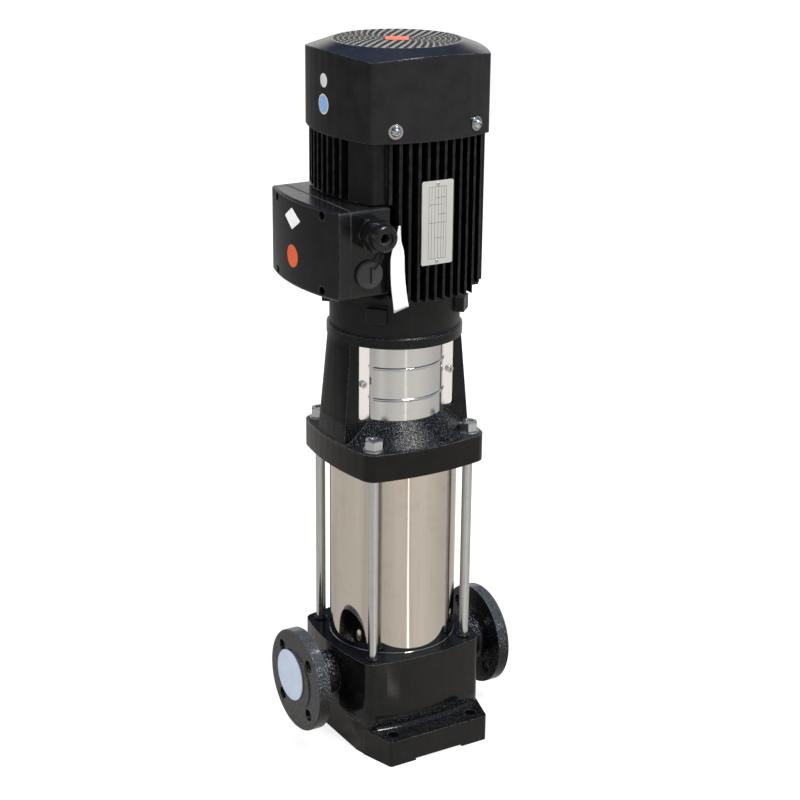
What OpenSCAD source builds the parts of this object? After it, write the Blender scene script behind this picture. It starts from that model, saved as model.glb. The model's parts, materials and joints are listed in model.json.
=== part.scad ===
// In-line vertical multistage pump with its motor, in millimetres.
// The origin is on the pump axis at floor level, +Z up, and the discharge flange points along +X.

/* [Ports] */
// Distance between the two flange faces
port_length = 250; // [240:1:270]
// Height of the port axis above the floor
port_z = 75; // [72:1:78]
// Bore of both ports
port_bore = 26; // [20:1:28]
// Outside diameter of the port flanges
flange_od = 115; // [110:1:120]
// Thickness of the port flanges with the raised face
flange_t = 15; // [12:1:18]
// Bolt circle of the port flanges
flange_pcd = 85; // [82:1:88]
// Bolt hole of the port flanges
flange_hole_d = 14; // [11:1:15]
// Diameter of the raised sealing face
raised_d = 66; // [58:1:68]
// Outside diameter of the port necks
neck_d = 49; // [44:1:54]
// Diameter of the protective disc over the suction port
port_cover_d = 58; // [50:1:64]

/* [Base] */
// Height of the machined top of the base
base_h = 111; // [108:1:118]
// Width of the bowed base over the middle of its sides
base_w = 162; // [158:1:168]
// Height of the feet
foot_h = 30; // [24:1:34]
// Length of each foot along its outer edge
foot_x = 124.4; // [118:0.2:132]
// Overall depth over both feet
foot_y = 211; // [205:1:220]
// Foot bolt spacing along the ports
foot_dx = 100; // [96:1:102]
// Foot bolt spacing across the ports
foot_dy = 180; // [178:1:184]
// Foot bolt hole
foot_hole_d = 13; // [11:1:14]

/* [Pump body] */
// Outside diameter of the polished sleeve
sleeve_od = 140; // [138:1:142]
// Wall of the sleeve
sleeve_wall = 2; // [1.5:0.5:3]
// Spacing of the tie rods along both sides of their square
rod_pitch = 118; // [117:1:120]
// Diameter of the tie rods
rod_d = 11; // [10:1:12]
// Width across flats of the tie rod nuts
nut_af = 18.5; // [17:0.5:20]
// Height of the tie rod nuts
nut_t = 10.4; // [9:0.2:12]
// Diameter of the tie rod washers
washer_od = 24; // [21:1:26]
// Thickness of the washers
washer_t = 2.5; // [2:0.5:3]

/* [Stages] */
// Number of impeller stages
stage_count = 6; // [5:1:7]
// Height of one stage
stage_h = 30; // [28:1:33]
// Height of the inlet stage
inlet_h = 14; // [13:1:18]
// Height of the outlet stage
outlet_h = 20; // [19:1:26]
// Outside diameter of the stages
stage_od = 118; // [114:1:119]
// Outside diameter of the impellers
impeller_od = 100; // [92:1:104]
// Number of impeller blades
blade_count = 6; // [5:1:8]
// Diameter of the pump shaft
pump_shaft_d = 16; // [14:1:17]

/* [Motor stool] */
// Width of the bottom flange over its middle
stool_w = 162; // [160:1:170]
// Thickness of the bottom flange
stool_flange_t = 30; // [26:1:34]
// Height of the dome over the flange
dome_h = 23; // [21:1:27]
// Height of the whole stool
stool_h = 151; // [146:1:160]
// Diameter of the top ring
ring_od = 146; // [144:1:150]
// Thickness of the top ring
ring_t = 11.5; // [10:0.5:14]
// Width of each column
column_w = 50; // [44:1:54]

/* [Coupling and guards] */
// Outside diameter of the guards
guard_od = 106; // [102:1:107]
// Sheet thickness of the guards
guard_t = 1.2; // [0.8:0.2:2]
// Width of the flanges along both sides of each guard
guard_flange_w = 11.8; // [10:0.2:13]
// Outside diameter of the coupling
coupling_od = 54; // [50:1:60]
// Length of the coupling
coupling_h = 74; // [70:1:78]

/* [Motor] */
// Diameter of the motor flange
motor_flange_od = 140; // [138:1:142]
// Height of the lower shield
shield_h = 41; // [38:1:46]
// Height of the finned frame
frame_h = 173; // [168:1:190]
// Width of the frame over the middle fins
frame_w = 164; // [162:1:168]
// Radius of the bowed sides of the frame
frame_side_r = 161; // [150:1:180]
// Diameter of the frame under the fins
core_d = 136; // [134:1:138]
// Spacing of the fins on the front and rear
fin_pitch = 10; // [9:0.5:11]
// Spacing of the fins on the two sides
side_fin_pitch = 12; // [11:0.5:13]
// Thickness of the fins
fin_t = 2.6; // [2:0.2:3.4]
// Diameter of the motor shaft end
motor_shaft_d = 24; // [22:1:24]
// Length of the shaft end below the motor flange
shaft_end = 48; // [44:1:50]
// Outside diameter of the cooling fan
fan_od = 124; // [110:1:128]

/* [Fan cover] */
// Gap between the fin tips and the fan cover
cover_gap = 1.5; // [1:0.5:2.5]
// Sheet thickness of the fan cover
cover_t = 1.5; // [1:0.5:2]
// Length of the frame that the cover overlaps
cover_lap = 6; // [4:1:10]
// Height of the cover to the flat grille
cover_h = 91; // [88:1:100]
// Diameter of the flat grille
grille_d = 136; // [130:1:140]
// Diameter of the grille holes
grille_hole_d = 4.4; // [3.4:0.2:4.8]

/* [Terminal box] */
// Length of the box across the motor
box_y = 145; // [138:1:148]
// Height of the box
box_h = 92; // [88:1:98]
// Height of the box floor above the lower end of the frame
box_up = 11; // [9:1:14]
// Distance from the axis to the seam of the lid
box_seam_x = 95; // [94:1:98]
// Depth of the lid at its ends
lid_depth = 13; // [12:1:16]
// Bow of the lid in its middle
lid_bow = 12; // [9:1:14]
// Wall of the box and lid
box_wall = 3; // [2.5:0.5:4]
// Width across flats of the cable gland
gland_af = 30; // [27:1:31]
// Diameter of the blanking plug
plug_d = 29; // [26:1:31]

/* [Hidden] */
$fn = 64;

// Clearances
seat_gap = 0.05;
running_gap = 0.05;
wear_gap = 0.4;
free_gap = 0.5;

// Heights, from the floor up
sleeve_len = inlet_h + stage_count * stage_h + outlet_h;
stage_z0 = base_h + inlet_h;
outlet_z0 = stage_z0 + stage_count * stage_h;
head_z0 = base_h + sleeve_len;
head_z1 = head_z0 + stool_flange_t;
dome_z1 = head_z1 + dome_h;
motor_z0 = head_z0 + stool_h;
ring_z0 = motor_z0 - ring_t;
frame_z0 = motor_z0 + shield_h;
frame_z1 = frame_z0 + frame_h;
cover_z0 = frame_z1 - cover_lap;
cover_z1 = cover_z0 + cover_h;

// Base
face_x = port_length / 2;
base_half = base_w / 2;
base_side_r = 280;
base_corner_r = 12;
foot_root_x = 148;
foot_root_y = 66;
foot_corner_r = 4;
cove_r = 5;
raised_t = 1;
port_cover_t = 1.2;
port_cover_dy = 9;
port_cover_dz = 3;
neck_fillet = 6;
well_r = 32;
passage_x = base_half - 11;
well_z0 = port_z - port_bore / 2 - 2;
rib_t = 12;
pocket_z1 = 47;
pocket_wall = 22;
recess_h = 45;
recess_half = 64.5;
recess_foot = 5;
recess_depth = 11;
relief_w = 60;
relief_h = 2.5;

// Sleeve and spigots
sleeve_r = sleeve_od / 2;
sleeve_ri = sleeve_r - sleeve_wall;
spigot_r = sleeve_ri - seat_gap;
spigot_wall = 4.5;
spigot_h = 8;
channel_r = spigot_r - spigot_wall;
channel_ri = stage_od / 2 + 0.8;
channel_z0 = port_z + 5;
oring_d = 2.4;
oring_groove = oring_d + 0.1;
band_t = 0.5;
band_h = 2;

// Tie rods
rod_at = rod_pitch / 2;
rod_depth = 25;
washer_z0 = head_z1;
nut_z0 = washer_z0 + washer_t;
rod_end = -1;
rod_z1 = nut_z0 + nut_t + rod_end;

// Stages
stage_r = stage_od / 2;
stage_wall = 1.5;
plate_t = 2;
impeller_r = impeller_od / 2;
shaft_r = pump_shaft_d / 2;
hub_r = shaft_r + 5;
eye_r = 22;
eye_ri = eye_r - 1.5;
shroud_t = 1.5;
shroud_z = 5;
blade_h = 7;
blade_t = 2;
vane_count = 8;
guide_z = 19;
hub_z = 4;
bush_r = shaft_r + 6;
shaft_foot_z = base_h + 2;

// Stool
stool_side_r = 300;
stool_corner_r = 16;
dome_foot_r = 78;
dome_top_r = 54;
column_r = ring_od / 2;
column_t = 17;
column_foot_x = 79.5;
column_flare = 4;
ring_chamfer = 1.5;
spot_d = washer_od + 2;
rod_hole_d = rod_d + 2;
chamber_r = 22;
motor_spigot_r = 47.5;
motor_spigot_h = 3;
flange_screw_r = 57.5;
flange_screw_d = 8;
flange_head_d = 13;
flange_head_t = 5;

// Plugs on the rear
plug_thread_d = 14;
plug_thread_l = 12;
plug_af = 17;
plug_head_t = 8;
plug_collar_d = 22;
plug_collar_t = 2;
drain_z = well_z0 + 12;
vent_z = head_z0 + stool_flange_t / 2;

// Seal
seal_cover_r = 38;
seal_cover_t = 6;
seal_boss_h = 8;
seat_r = 17;
seat_ri = shaft_r + 1.5;
seat_depth = 6;
seat_h = 10;
seat_z1 = dome_z1 - seal_boss_h + seat_depth;
seat_z0 = seat_z1 - seat_h;
head_ring_h = 6;
head_ring_r = 15;
spring_h = 17;
head_collar_h = 7;

// Coupling and guards
guard_r = guard_od / 2;
guard_z0 = dome_z1 + free_gap;
guard_z1 = ring_z0 - free_gap;
guard_y = column_w / 2;
guard_flange_x = sqrt(guard_r * guard_r - guard_y * guard_y);
guard_half = guard_flange_x + guard_flange_w;
guard_hole_x = guard_half - 4.5;
guard_corner_r = 4;
guard_screw_z = (guard_z0 + guard_z1) / 2 - 2.5;
guard_screw_d = 5;
bead_r = 1.6;
bead_spacing = 34.5;
coupling_r = coupling_od / 2;
coupling_z1 = motor_z0 - 8;
coupling_z0 = coupling_z1 - coupling_h;
coupling_split = 1;
shaft_meet_z = motor_z0 - shaft_end;
coupling_screw_x = motor_shaft_d / 2 + 8;
coupling_screw_d = 5;
coupling_head_d = 8.5;
coupling_head_t = 5;
head_seat_y = 7;
coupling_screw_zs = [coupling_z0 + 10, coupling_z0 + 26, coupling_z1 - 26, coupling_z1 - 10];

// Motor
motor_r = motor_flange_od / 2;
frame_half = frame_w / 2;
frame_corner_r = 6;
fin_corner = 50;
fin_corner_h = 9;
core_r = core_d / 2;
core_t = 6;
core_ri = core_r - core_t;
bearing_r = 26;
bearing_h = 15;
bearing_ri = 12.5;
bearing_wall = 6;
web_t = 8;
ear_w = 22;
ear_h = 15.5;
ear_reach = 8;
ear_z0 = motor_z0 + 17;
stator_h = 100;
stator_z0 = frame_z0 + 33;
stator_ri = 36;
slot_count = 24;
slot_w = 4;
slot_r0 = stator_ri + 3;
slot_r1 = core_ri - 8;
winding_h = 18;
air_gap = 0.5;
rotor_shaft_r = 15;
upper_web_z = frame_z1 + 10;
upper_bearing_z1 = upper_web_z;
fan_z0 = upper_web_z + 14;
fan_h = 26;
fan_shaft_r = 10;
fan_hub_r = 15;
fan_blades = 8;

// Fan cover
cover_half = frame_half + cover_gap + cover_t;
cover_side_r = frame_side_r + cover_gap + cover_t;
cover_corner_r = frame_corner_r + cover_gap + cover_t;
grille_r = grille_d / 2;
roof_slope = 0.365;
grille_ring0 = 14;
grille_ring_pitch = 5.5;
grille_hole_pitch = 8.7;
cover_screw_x = 47.5;
cover_screw_z = cover_z0 + 12.4;
cover_screw_d = 6;
cover_head_d = 11;
cover_washer_d = 15;
cover_washer_t = 1.2;
lug_w = 14;
lug_h = 14;
lug_gap = 0.3;

// Terminal box
box_z0 = frame_z0 + box_up;
box_mid_z = box_z0 + box_h / 2;
box_corner_r = 4.5;
box_half_y = box_y / 2;
box_back_x = 50;
seat_x = 76;
seat_half_y = 44;
box_back_t = 3;
lead_hole_r = 13;
lid_x1 = box_seam_x + lid_depth;
lid_r = (box_half_y * box_half_y + lid_bow * lid_bow) / (2 * lid_bow);
lid_axis_x = lid_r - lid_x1 - lid_bow;
lid_edge_r = 3;
lid_screw_y = 48;
lid_screw_dz = 39;
lid_post_r = 6.5;
lid_pocket_r = 4.6;
lid_floor_x = box_seam_x + 7;
lid_screw_d = 5;
lid_screw_grip = 10;
lid_head_d = 8.5;
lid_head_t = 4;
block_y = 50;
block_z = 40;
block_t = 12;
stud_d = 5;
stud_l = 6;

// Cable gland and plug
gland_x = 74.5;
gland_z = box_z0 + 69;
gland_thread_r = 12;
gland_hex_t = 9;
gland_bare_t = 3;
gland_nut_hex_t = 13;
gland_dome_t = 11;
gland_dome_r = 14;
gland_mouth_r = 7.5;
gland_inner_t = 9;
gland_y = box_half_y;
plug_z = box_z0 + 25;
plug_t = 5;
plug_slot_w = 2.4;
plug_slot_l = 17;
plug_slot_d = 2;

// Nameplate and tag
nameplate_w = 37;
nameplate_h = 87;
nameplate_t = 1;
nameplate_z = frame_z0 + 83;
tag_t = 0.6;
tag_w = 18;
tag_len = 90;
tag_x = 45.5;
tag_top_w = 4;
tag_shoulder = 26;
loop_t = 1.6;

// A square with four bowed sides and rounded corners, as points
function fillet_at(u, r) = (sqrt(2 * r * r - u * u) - u) / 2;
function bowed_square(half, side_r, corner_r) =
    let (u = side_r - half, c = fillet_at(u, side_r - corner_r), a = atan2(c, c + u))
    [for (k = [0:3], i = [0:15])
        let (t = i < 10 ? -a + 2 * a * i / 9 : a + (90 - 2 * a) * (i - 9) / 7)
        let (p = i < 10 ? [side_r * cos(t) - u, side_r * sin(t)]
                        : [c + corner_r * cos(t), c + corner_r * sin(t)])
        [p.x * cos(90 * k) - p.y * sin(90 * k), p.x * sin(90 * k) + p.y * cos(90 * k)]];

// Distance from the axis to a bowed side, at the distance s from its middle
function side_at(half, side_r, s) = sqrt(side_r * side_r - s * s) - side_r + half;

module ring(r, ri, z0, z1) {
    translate([0, 0, z0]) difference() {
        cylinder(r = r, h = z1 - z0);
        translate([0, 0, -1]) cylinder(r = ri, h = z1 - z0 + 2);
    }
}

module disc(r, z0, z1) {
    translate([0, 0, z0]) cylinder(r = r, h = z1 - z0);
}

module rounded_rect(w, h, r) {
    square([w - 2 * r, h], center = true);
    square([w, h - 2 * r], center = true);
    for (x = [-1, 1], y = [-1, 1]) translate([x * (w / 2 - r), y * (h / 2 - r)]) circle(r = r);
}

module hex(af, h) {
    cylinder(r = af / sqrt(3), h = h, $fn = 6);
}

// A hexagon with both ends chamfered by a cone
module chamfered_hex(af, h) {
    c = af * 0.07;
    intersection() {
        hex(af, h);
        rotate_extrude() polygon([[0, 0], [af / 2, 0], [af / 2 + c, c / 2], [af / 2 + c, h - c / 2],
                                  [af / 2, h], [0, h]]);
    }
}

// Shapes turned so that they run along an axis, starting at the place given
module along_x(x, y, z) {
    translate([x, y, z]) rotate([0, 90, 0]) children();
}

module along_front(x, y, z) {
    translate([x, y, z]) rotate([90, 0, 0]) children();
}

module along_rear(x, y, z) {
    translate([x, y, z]) rotate([-90, 0, 0]) children();
}

// An outline in Y and Z, extruded along +X from x
module profile_x(x, t) {
    translate([x, 0, 0]) rotate([90, 0, 90]) linear_extrude(t) children();
}

module at_rods() {
    for (x = [-1, 1], y = [-1, 1]) translate([x * rod_at, y * rod_at, 0]) children();
}

// Base casting
module port_flange() {
    fx = face_x - raised_t;
    back = face_x - flange_t;
    rotate([0, 90, 0]) {
        disc(neck_d / 2, base_half - 10, fx);
        translate([0, 0, back]) cylinder(r = flange_od / 2, h = fx - back - 1);
        translate([0, 0, fx - 1]) cylinder(r1 = flange_od / 2, r2 = flange_od / 2 - 1, h = 1);
        disc(raised_d / 2, fx - 1, face_x);
        rotate_extrude() translate([neck_d / 2, back]) mirror([0, 1]) difference() {
            square(neck_fillet);
            translate([neck_fillet, neck_fillet]) circle(r = neck_fillet);
        }
    }
}

module flange_holes() {
    for (a = [45:90:315]) rotate([0, 90, 0]) rotate(a) translate([flange_pcd / 2, 0, face_x - flange_t - 1])
        cylinder(d = flange_hole_d, h = flange_t + 2);
}

// The recess under each port: an arch in the bowed side wall, its back sloping out to the floor
module port_recess() {
    arch_r = (recess_half * recess_half + recess_h * recess_h) / (2 * recess_h);
    intersection() {
        translate([0, recess_half, 0]) rotate([90, 0, 0]) linear_extrude(2 * recess_half)
            polygon([[base_half - recess_foot, -1], [base_half - recess_depth, recess_h],
                     [base_half + 1, recess_h], [base_half + 1, -1]]);
        along_x(base_half - recess_depth - 1, 0, recess_h - arch_r)
            cylinder(r = arch_r, h = recess_depth + 2);
    }
}

// Outline of the two feet: straight sides that run in to the front and rear, with small corners
function foot_corner() =
    let (a = atan2((foot_root_x - foot_x) / 2, foot_y / 2 - foot_root_y))
    let (cx = foot_x / 2 - foot_corner_r * (1 - sin(a)) / cos(a), cy = foot_y / 2 - foot_corner_r)
    concat([[foot_root_x / 2, foot_root_y]],
           [for (k = [0:5]) let (t = a + (90 - a) * k / 5)
               [cx + foot_corner_r * cos(t), cy + foot_corner_r * sin(t)]]);

module foot_outline() {
    for (y = [0, 1]) mirror([0, y]) polygon(concat(
        foot_corner(), [for (k = [6:-1:0]) [-foot_corner()[k].x, foot_corner()[k].y]], [[0, 0]]));
}

// The cove where the bowed wall meets the top of a foot
module foot_cove() {
    intersection() {
        translate([0, base_half - base_side_r, foot_h]) rotate_extrude() translate([base_side_r, 0])
            difference() {
            translate([-1.5, -1.5]) square(cove_r + 1.5);
            translate([cove_r * 1.2, cove_r * 1.2]) circle(r = cove_r * 1.26);
        }
        translate([0, 0, foot_h - 1]) linear_extrude(cove_r + 2) intersection() {
            foot_outline();
            translate([-foot_root_x / 2 + base_corner_r, 0])
                square([foot_root_x - 2 * base_corner_r, foot_y]);
        }
    }
}

module oring_groove_cut(z) {
    ring(spigot_r + 1, spigot_r - oring_groove, z - oring_d / 2 - 0.2, z + oring_d / 2 + 0.2);
}

module pump_base() {
    color([0.06, 0.06, 0.065]) difference() {
        union() {
            difference() {
                linear_extrude(base_h) polygon(bowed_square(base_half, base_side_r, base_corner_r));
                for (s = [0, 1]) mirror([s, 0, 0]) port_recess();
            }
            linear_extrude(foot_h) foot_outline();
            for (s = [0, 1]) mirror([0, s, 0]) foot_cove();
            for (s = [0, 1]) mirror([s, 0, 0]) translate([0, 0, port_z]) port_flange();
            disc(spigot_r, base_h - 1, base_h + spigot_h);
        }
        for (s = [0, 1]) mirror([s, 0, 0]) translate([0, 0, port_z]) flange_holes();
        for (s = [0, 1]) mirror([s, 0, 0]) along_x(passage_x, 0, port_z) cylinder(d = port_bore, h = face_x);
        along_x(-passage_x - 1, 0, port_z) cylinder(d = port_bore - 2, h = passage_x + 1);
        disc(well_r, well_z0, base_h + spigot_h + 1);
        along_x(channel_ri - 2, 0, port_z) cylinder(d = port_bore - 2, h = passage_x - channel_ri + 3);
        disc(channel_r, base_h, base_h + spigot_h + 1);
        ring(channel_r, channel_ri, channel_z0, base_h + 1);
        oring_groove_cut(base_h + spigot_h / 2);
        at_rods() disc(rod_d / 2 + seat_gap, base_h - rod_depth, base_h + 1);
        for (x = [-1, 1], y = [-1, 1]) translate([x * foot_dx / 2, y * foot_dy / 2, -1])
            cylinder(d = foot_hole_d, h = foot_h + 2);
        for (y = [0, 1]) mirror([0, y, 0]) base_pocket();
        translate([-relief_w / 2, -foot_y / 2 - 1, -1]) cube([relief_w, foot_y + 2, relief_h + 1]);
        along_rear(0, base_half - 1, drain_z) {
            cylinder(d = plug_collar_d + 4, h = 10);
            translate([0, 0, -plug_thread_l - 3])
                cylinder(d = plug_thread_d + 2 * seat_gap, h = plug_thread_l + 4);
            translate([0, 0, -base_half + 1]) cylinder(d = plug_thread_d - 4, h = base_half);
        }
    }
}

// One of two pockets under the base, on both sides of the rib between the ports
module base_pocket() {
    w = 2 * (base_half - pocket_wall);
    d = base_half - pocket_wall - rib_t / 2;
    translate([0, rib_t / 2 + d / 2, -1]) linear_extrude(pocket_z1 + 1) rounded_rect(w, d, 8);
}

// A hexagon plug with a sealing collar, its head towards +Z
module hex_plug() {
    translate([0, 0, -plug_thread_l]) cylinder(d = plug_thread_d, h = plug_thread_l);
    cylinder(d = plug_collar_d, h = plug_collar_t);
    translate([0, 0, plug_collar_t]) chamfered_hex(plug_af, plug_head_t);
}

module drain_plug() {
    color([0.75, 0.74, 0.7]) along_rear(0, base_half - 1, drain_z) hex_plug();
}

module vent_plug() {
    color([0.75, 0.74, 0.7]) along_rear(0, stool_w / 2 - 1, vent_z) hex_plug();
}

// Sleeve, its rings and the tie rods
module sleeve_orings() {
    color([0.1, 0.1, 0.1]) for (z = [base_h + spigot_h / 2, head_z0 - spigot_h / 2])
        translate([0, 0, z]) rotate_extrude()
            translate([sleeve_ri - seat_gap - oring_d / 2, 0]) circle(d = oring_d, $fn = 24);
}

module outer_sleeve() {
    color([0.83, 0.82, 0.8]) difference() {
        union() {
            disc(sleeve_r, base_h, head_z0);
            disc(sleeve_r + band_t, base_h, base_h + band_h);
        }
        disc(sleeve_ri, base_h - 1, head_z0 + 1);
    }
}

module tie_rods() {
    color([0.78, 0.78, 0.76]) at_rods() {
        disc(rod_d / 2, base_h - rod_depth, rod_z1 - 1);
        translate([0, 0, rod_z1 - 1]) cylinder(d1 = rod_d, d2 = rod_d - 2, h = 1);
    }
}

module rod_nuts() {
    color([0.8, 0.8, 0.78]) at_rods() translate([0, 0, nut_z0]) difference() {
        chamfered_hex(nut_af, nut_t);
        translate([0, 0, -1]) cylinder(d = rod_d + 2 * seat_gap, h = nut_t + 2);
    }
}

module rod_washers() {
    color([0.8, 0.8, 0.78]) at_rods() ring(washer_od / 2, rod_d / 2 + 0.5, washer_z0, washer_z0 + washer_t);
}

// Motor stool
// Each column runs from a wide foot, as bowed as the flange, to the round ring
module column_slice(half, width) {
    linear_extrude(1) intersection() {
        children();
        translate([half, -width / 2]) square([column_foot_x, width]);
    }
}

module stool_columns() {
    inner = column_r - column_t;
    inner_x = sqrt(inner * inner - (column_w / 2 + column_flare) * (column_w / 2 + column_flare)) - 1;
    difference() {
        for (s = [0, 1]) mirror([s, 0, 0]) hull() {
            translate([0, 0, head_z1 - 1]) column_slice(inner_x, column_w + 2 * column_flare)
                polygon(bowed_square(column_foot_x, base_side_r, stool_corner_r));
            translate([0, 0, ring_z0]) column_slice(inner_x, column_w) circle(r = column_r, $fn = 64);
        }
        disc(inner, head_z1 - 2, ring_z0 + 2);
        for (s = [0, 1]) mirror([0, s, 0]) translate([-guard_half - 1, guard_y, guard_z0 - free_gap])
            cube([2 * guard_half + 2, column_w, ring_z0 - guard_z0 + free_gap]);
    }
}

module at_flange_screws() {
    for (a = [45:90:315]) rotate(a) translate([flange_screw_r, 0, 0]) children();
}

module motor_stool() {
    color([0.05, 0.05, 0.055]) difference() {
        union() {
            translate([0, 0, head_z0]) linear_extrude(stool_flange_t)
                polygon(bowed_square(stool_w / 2, stool_side_r, stool_corner_r));
            disc(spigot_r, head_z0 - spigot_h, head_z0 + 1);
            translate([0, 0, head_z1]) cylinder(r1 = dome_foot_r, r2 = dome_top_r, h = dome_h);
            stool_columns();
            disc(ring_od / 2, ring_z0, motor_z0 - ring_chamfer);
            translate([0, 0, motor_z0 - ring_chamfer])
                cylinder(r1 = ring_od / 2, r2 = ring_od / 2 - ring_chamfer, h = ring_chamfer);
        }
        disc(channel_r, head_z0 - spigot_h - 1, head_z0);
        oring_groove_cut(head_z0 - spigot_h / 2);
        disc(chamber_r, head_z0 - 1, dome_z1 + 1);
        disc(motor_spigot_r + seat_gap, ring_z0 - 1, motor_z0 + 1);
        at_rods() {
            disc(rod_hole_d / 2, head_z0 - 1, head_z1 + 1);
            disc(spot_d / 2, head_z1, head_z1 + dome_h + 20);
        }
        at_flange_screws() {
            disc(flange_screw_d / 2 + 0.5, ring_z0 - 1, motor_z0 + 1);
            disc(flange_head_d / 2 + 0.5, ring_z0 - 1, ring_z0 + flange_head_t + 0.5);
        }
        for (x = [-1, 1], y = [-1, 1]) along_rear(x * guard_hole_x, y < 0 ? -guard_y - 1 : guard_y - 11,
                                                  guard_screw_z)
            cylinder(d = guard_screw_d + 2 * seat_gap, h = 12);
        along_rear(0, stool_w / 2 - 1, vent_z) {
            cylinder(d = plug_collar_d + 4, h = 10);
            translate([0, 0, -plug_thread_l - 3])
                cylinder(d = plug_thread_d + 2 * seat_gap, h = plug_thread_l + 4);
            translate([0, 0, -stool_w / 2 + 1]) cylinder(d = plug_thread_d - 4, h = stool_w / 2);
        }
    }
}

// Hydraulics
module inlet_stage() {
    color([0.72, 0.73, 0.72]) difference() {
        union() {
            disc(stage_r, base_h, base_h + plate_t);
            ring(stage_r, stage_r - 4, base_h, stage_z0);
            disc(bush_r, base_h, stage_z0 - 1);
            for (a = [0:120:240]) rotate(a) translate([0, -2, base_h]) cube([stage_r - 1, 4, inlet_h - 3]);
        }
        difference() {
            disc(eye_ri, base_h - 1, base_h + plate_t + 1);
            disc(bush_r, base_h - 2, base_h + plate_t + 2);
            for (a = [0:120:240]) rotate(a) translate([0, -2, base_h - 2]) cube([stage_r, 4, plate_t + 4]);
        }
        disc(shaft_r + running_gap, base_h - 1, stage_z0);
    }
}

module diffuser(i) {
    z0 = stage_z0 + (i - 1) * stage_h;
    color([0.72, 0.73, 0.72]) translate([0, 0, z0]) {
        ring(stage_r, stage_r - stage_wall, 0, stage_h);
        ring(stage_r - 0.5, eye_r + wear_gap, 0, plate_t);
        ring(stage_r - 6, hub_r + wear_gap, guide_z, guide_z + shroud_t);
        for (k = [1:vane_count]) rotate(k * 360 / vane_count)
            translate([hub_r + 6, -0.75, guide_z + 0.5])
                cube([stage_r - hub_r - 6.7, 1.5, stage_h - guide_z - 0.5]);
    }
}

module outlet_stage() {
    window_h = outlet_h - plate_t - 6;
    color([0.72, 0.73, 0.72]) difference() {
        union() {
            ring(stage_r, stage_r - 2 * stage_wall, outlet_z0, head_z0);
            ring(stage_r - 0.5, well_r, outlet_z0, outlet_z0 + plate_t);
        }
        for (k = [0:7]) rotate(k * 45) translate([stage_r - 8, -9, outlet_z0 + plate_t + 3])
            cube([16, 18, window_h]);
    }
}

// One backward-curved blade as an arc strip from the eye to the rim
module blade() {
    arc_r = impeller_r * 0.62;
    translate([0, 0, shroud_z + shroud_t / 2]) linear_extrude(blade_h + shroud_t) intersection() {
        difference() {
            circle(r = impeller_r - 0.5);
            circle(r = hub_r + 3);
        }
        translate([arc_r * 0.9, -arc_r * 0.75]) difference() {
            circle(r = arc_r);
            circle(r = arc_r - blade_t);
            translate([-3 * arc_r, -2 * arc_r]) square([6 * arc_r, 2 * arc_r]);
        }
    }
}

module impeller(i) {
    z0 = stage_z0 + (i - 1) * stage_h;
    top = shroud_z + shroud_t + blade_h;
    color([0.76, 0.77, 0.76]) translate([0, 0, z0]) {
        ring(eye_r, eye_ri, free_gap, shroud_z + shroud_t);
        ring(impeller_r, eye_ri, shroud_z, shroud_z + shroud_t);
        ring(impeller_r, hub_r - 1, top, top + shroud_t);
        ring(hub_r, shaft_r + seat_gap, hub_z, hub_z + stage_h);
        for (k = [1:blade_count]) rotate(k * 360 / blade_count) blade();
    }
}

module impeller_nut() {
    z0 = outlet_z0 + hub_z;
    color([0.78, 0.78, 0.76]) translate([0, 0, z0]) difference() {
        chamfered_hex(24, 9);
        translate([0, 0, -1]) cylinder(r = shaft_r + seat_gap, h = 11);
    }
}

module pump_shaft() {
    color([0.8, 0.8, 0.78]) {
        disc(shaft_r, shaft_foot_z, shaft_meet_z - free_gap);
        disc(shaft_r + 2, stage_z0 - free_gap, stage_z0 + hub_z);
    }
}

// Mechanical seal
module seal_cover() {
    color([0.6, 0.6, 0.6]) difference() {
        union() {
            disc(seal_cover_r, dome_z1, dome_z1 + seal_cover_t);
            disc(chamber_r - seat_gap, dome_z1 - seal_boss_h, dome_z1 + 1);
        }
        disc(shaft_r + free_gap, dome_z1 - seal_boss_h - 1, dome_z1 + seal_cover_t + 1);
        disc(seat_r + seat_gap, dome_z1 - seal_boss_h - 1, seat_z1);
    }
}

module seal_seat() {
    color([0.85, 0.83, 0.78]) ring(seat_r, seat_ri, seat_z0, seat_z1);
}

module seal_head() {
    z2 = seat_z0 - running_gap;
    z1 = z2 - head_ring_h;
    z0 = z1 - spring_h;
    color([0.3, 0.3, 0.32]) difference() {
        union() {
            disc(head_ring_r, z1, z2);
            for (k = [0:3]) disc(head_ring_r - 1.5, z0 + k * spring_h / 4 + 1, z0 + k * spring_h / 4 + 3.2);
            disc(head_ring_r - 3, z0 - 1, z1 + 1);
            disc(head_ring_r - 0.5, z0 - head_collar_h, z0);
        }
        disc(shaft_r + seat_gap, z0 - head_collar_h - 1, z2 + 1);
    }
}

// Coupling and guards
module coupling_half(side) {
    difference() {
        intersection() {
            union() {
                disc(coupling_r, coupling_z0 + 1.5, coupling_z1 - 1.5);
                disc(coupling_r - 1.5, coupling_z0, coupling_z1);
            }
            translate([-coupling_r, side < 0 ? -coupling_r : coupling_split / 2, coupling_z0])
                cube([coupling_od, coupling_r - coupling_split / 2, coupling_h]);
        }
        disc(shaft_r + seat_gap, coupling_z0 - 1, shaft_meet_z);
        disc(motor_shaft_d / 2 + seat_gap, shaft_meet_z - 0.4, coupling_z1 + 1);
        for (z = coupling_screw_zs, x = [-1, 1]) along_front(x * coupling_screw_x, coupling_r, z)
            cylinder(d = coupling_screw_d + 2 * seat_gap, h = coupling_od);
        for (z = coupling_screw_zs, x = [-1, 1]) along_front(x * coupling_screw_x, -head_seat_y, z)
            cylinder(d = coupling_head_d + 1, h = coupling_r);
    }
}

module coupling_front() {
    color([0.55, 0.55, 0.56]) coupling_half(-1);
}

module coupling_rear() {
    color([0.55, 0.55, 0.56]) coupling_half(1);
}

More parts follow.
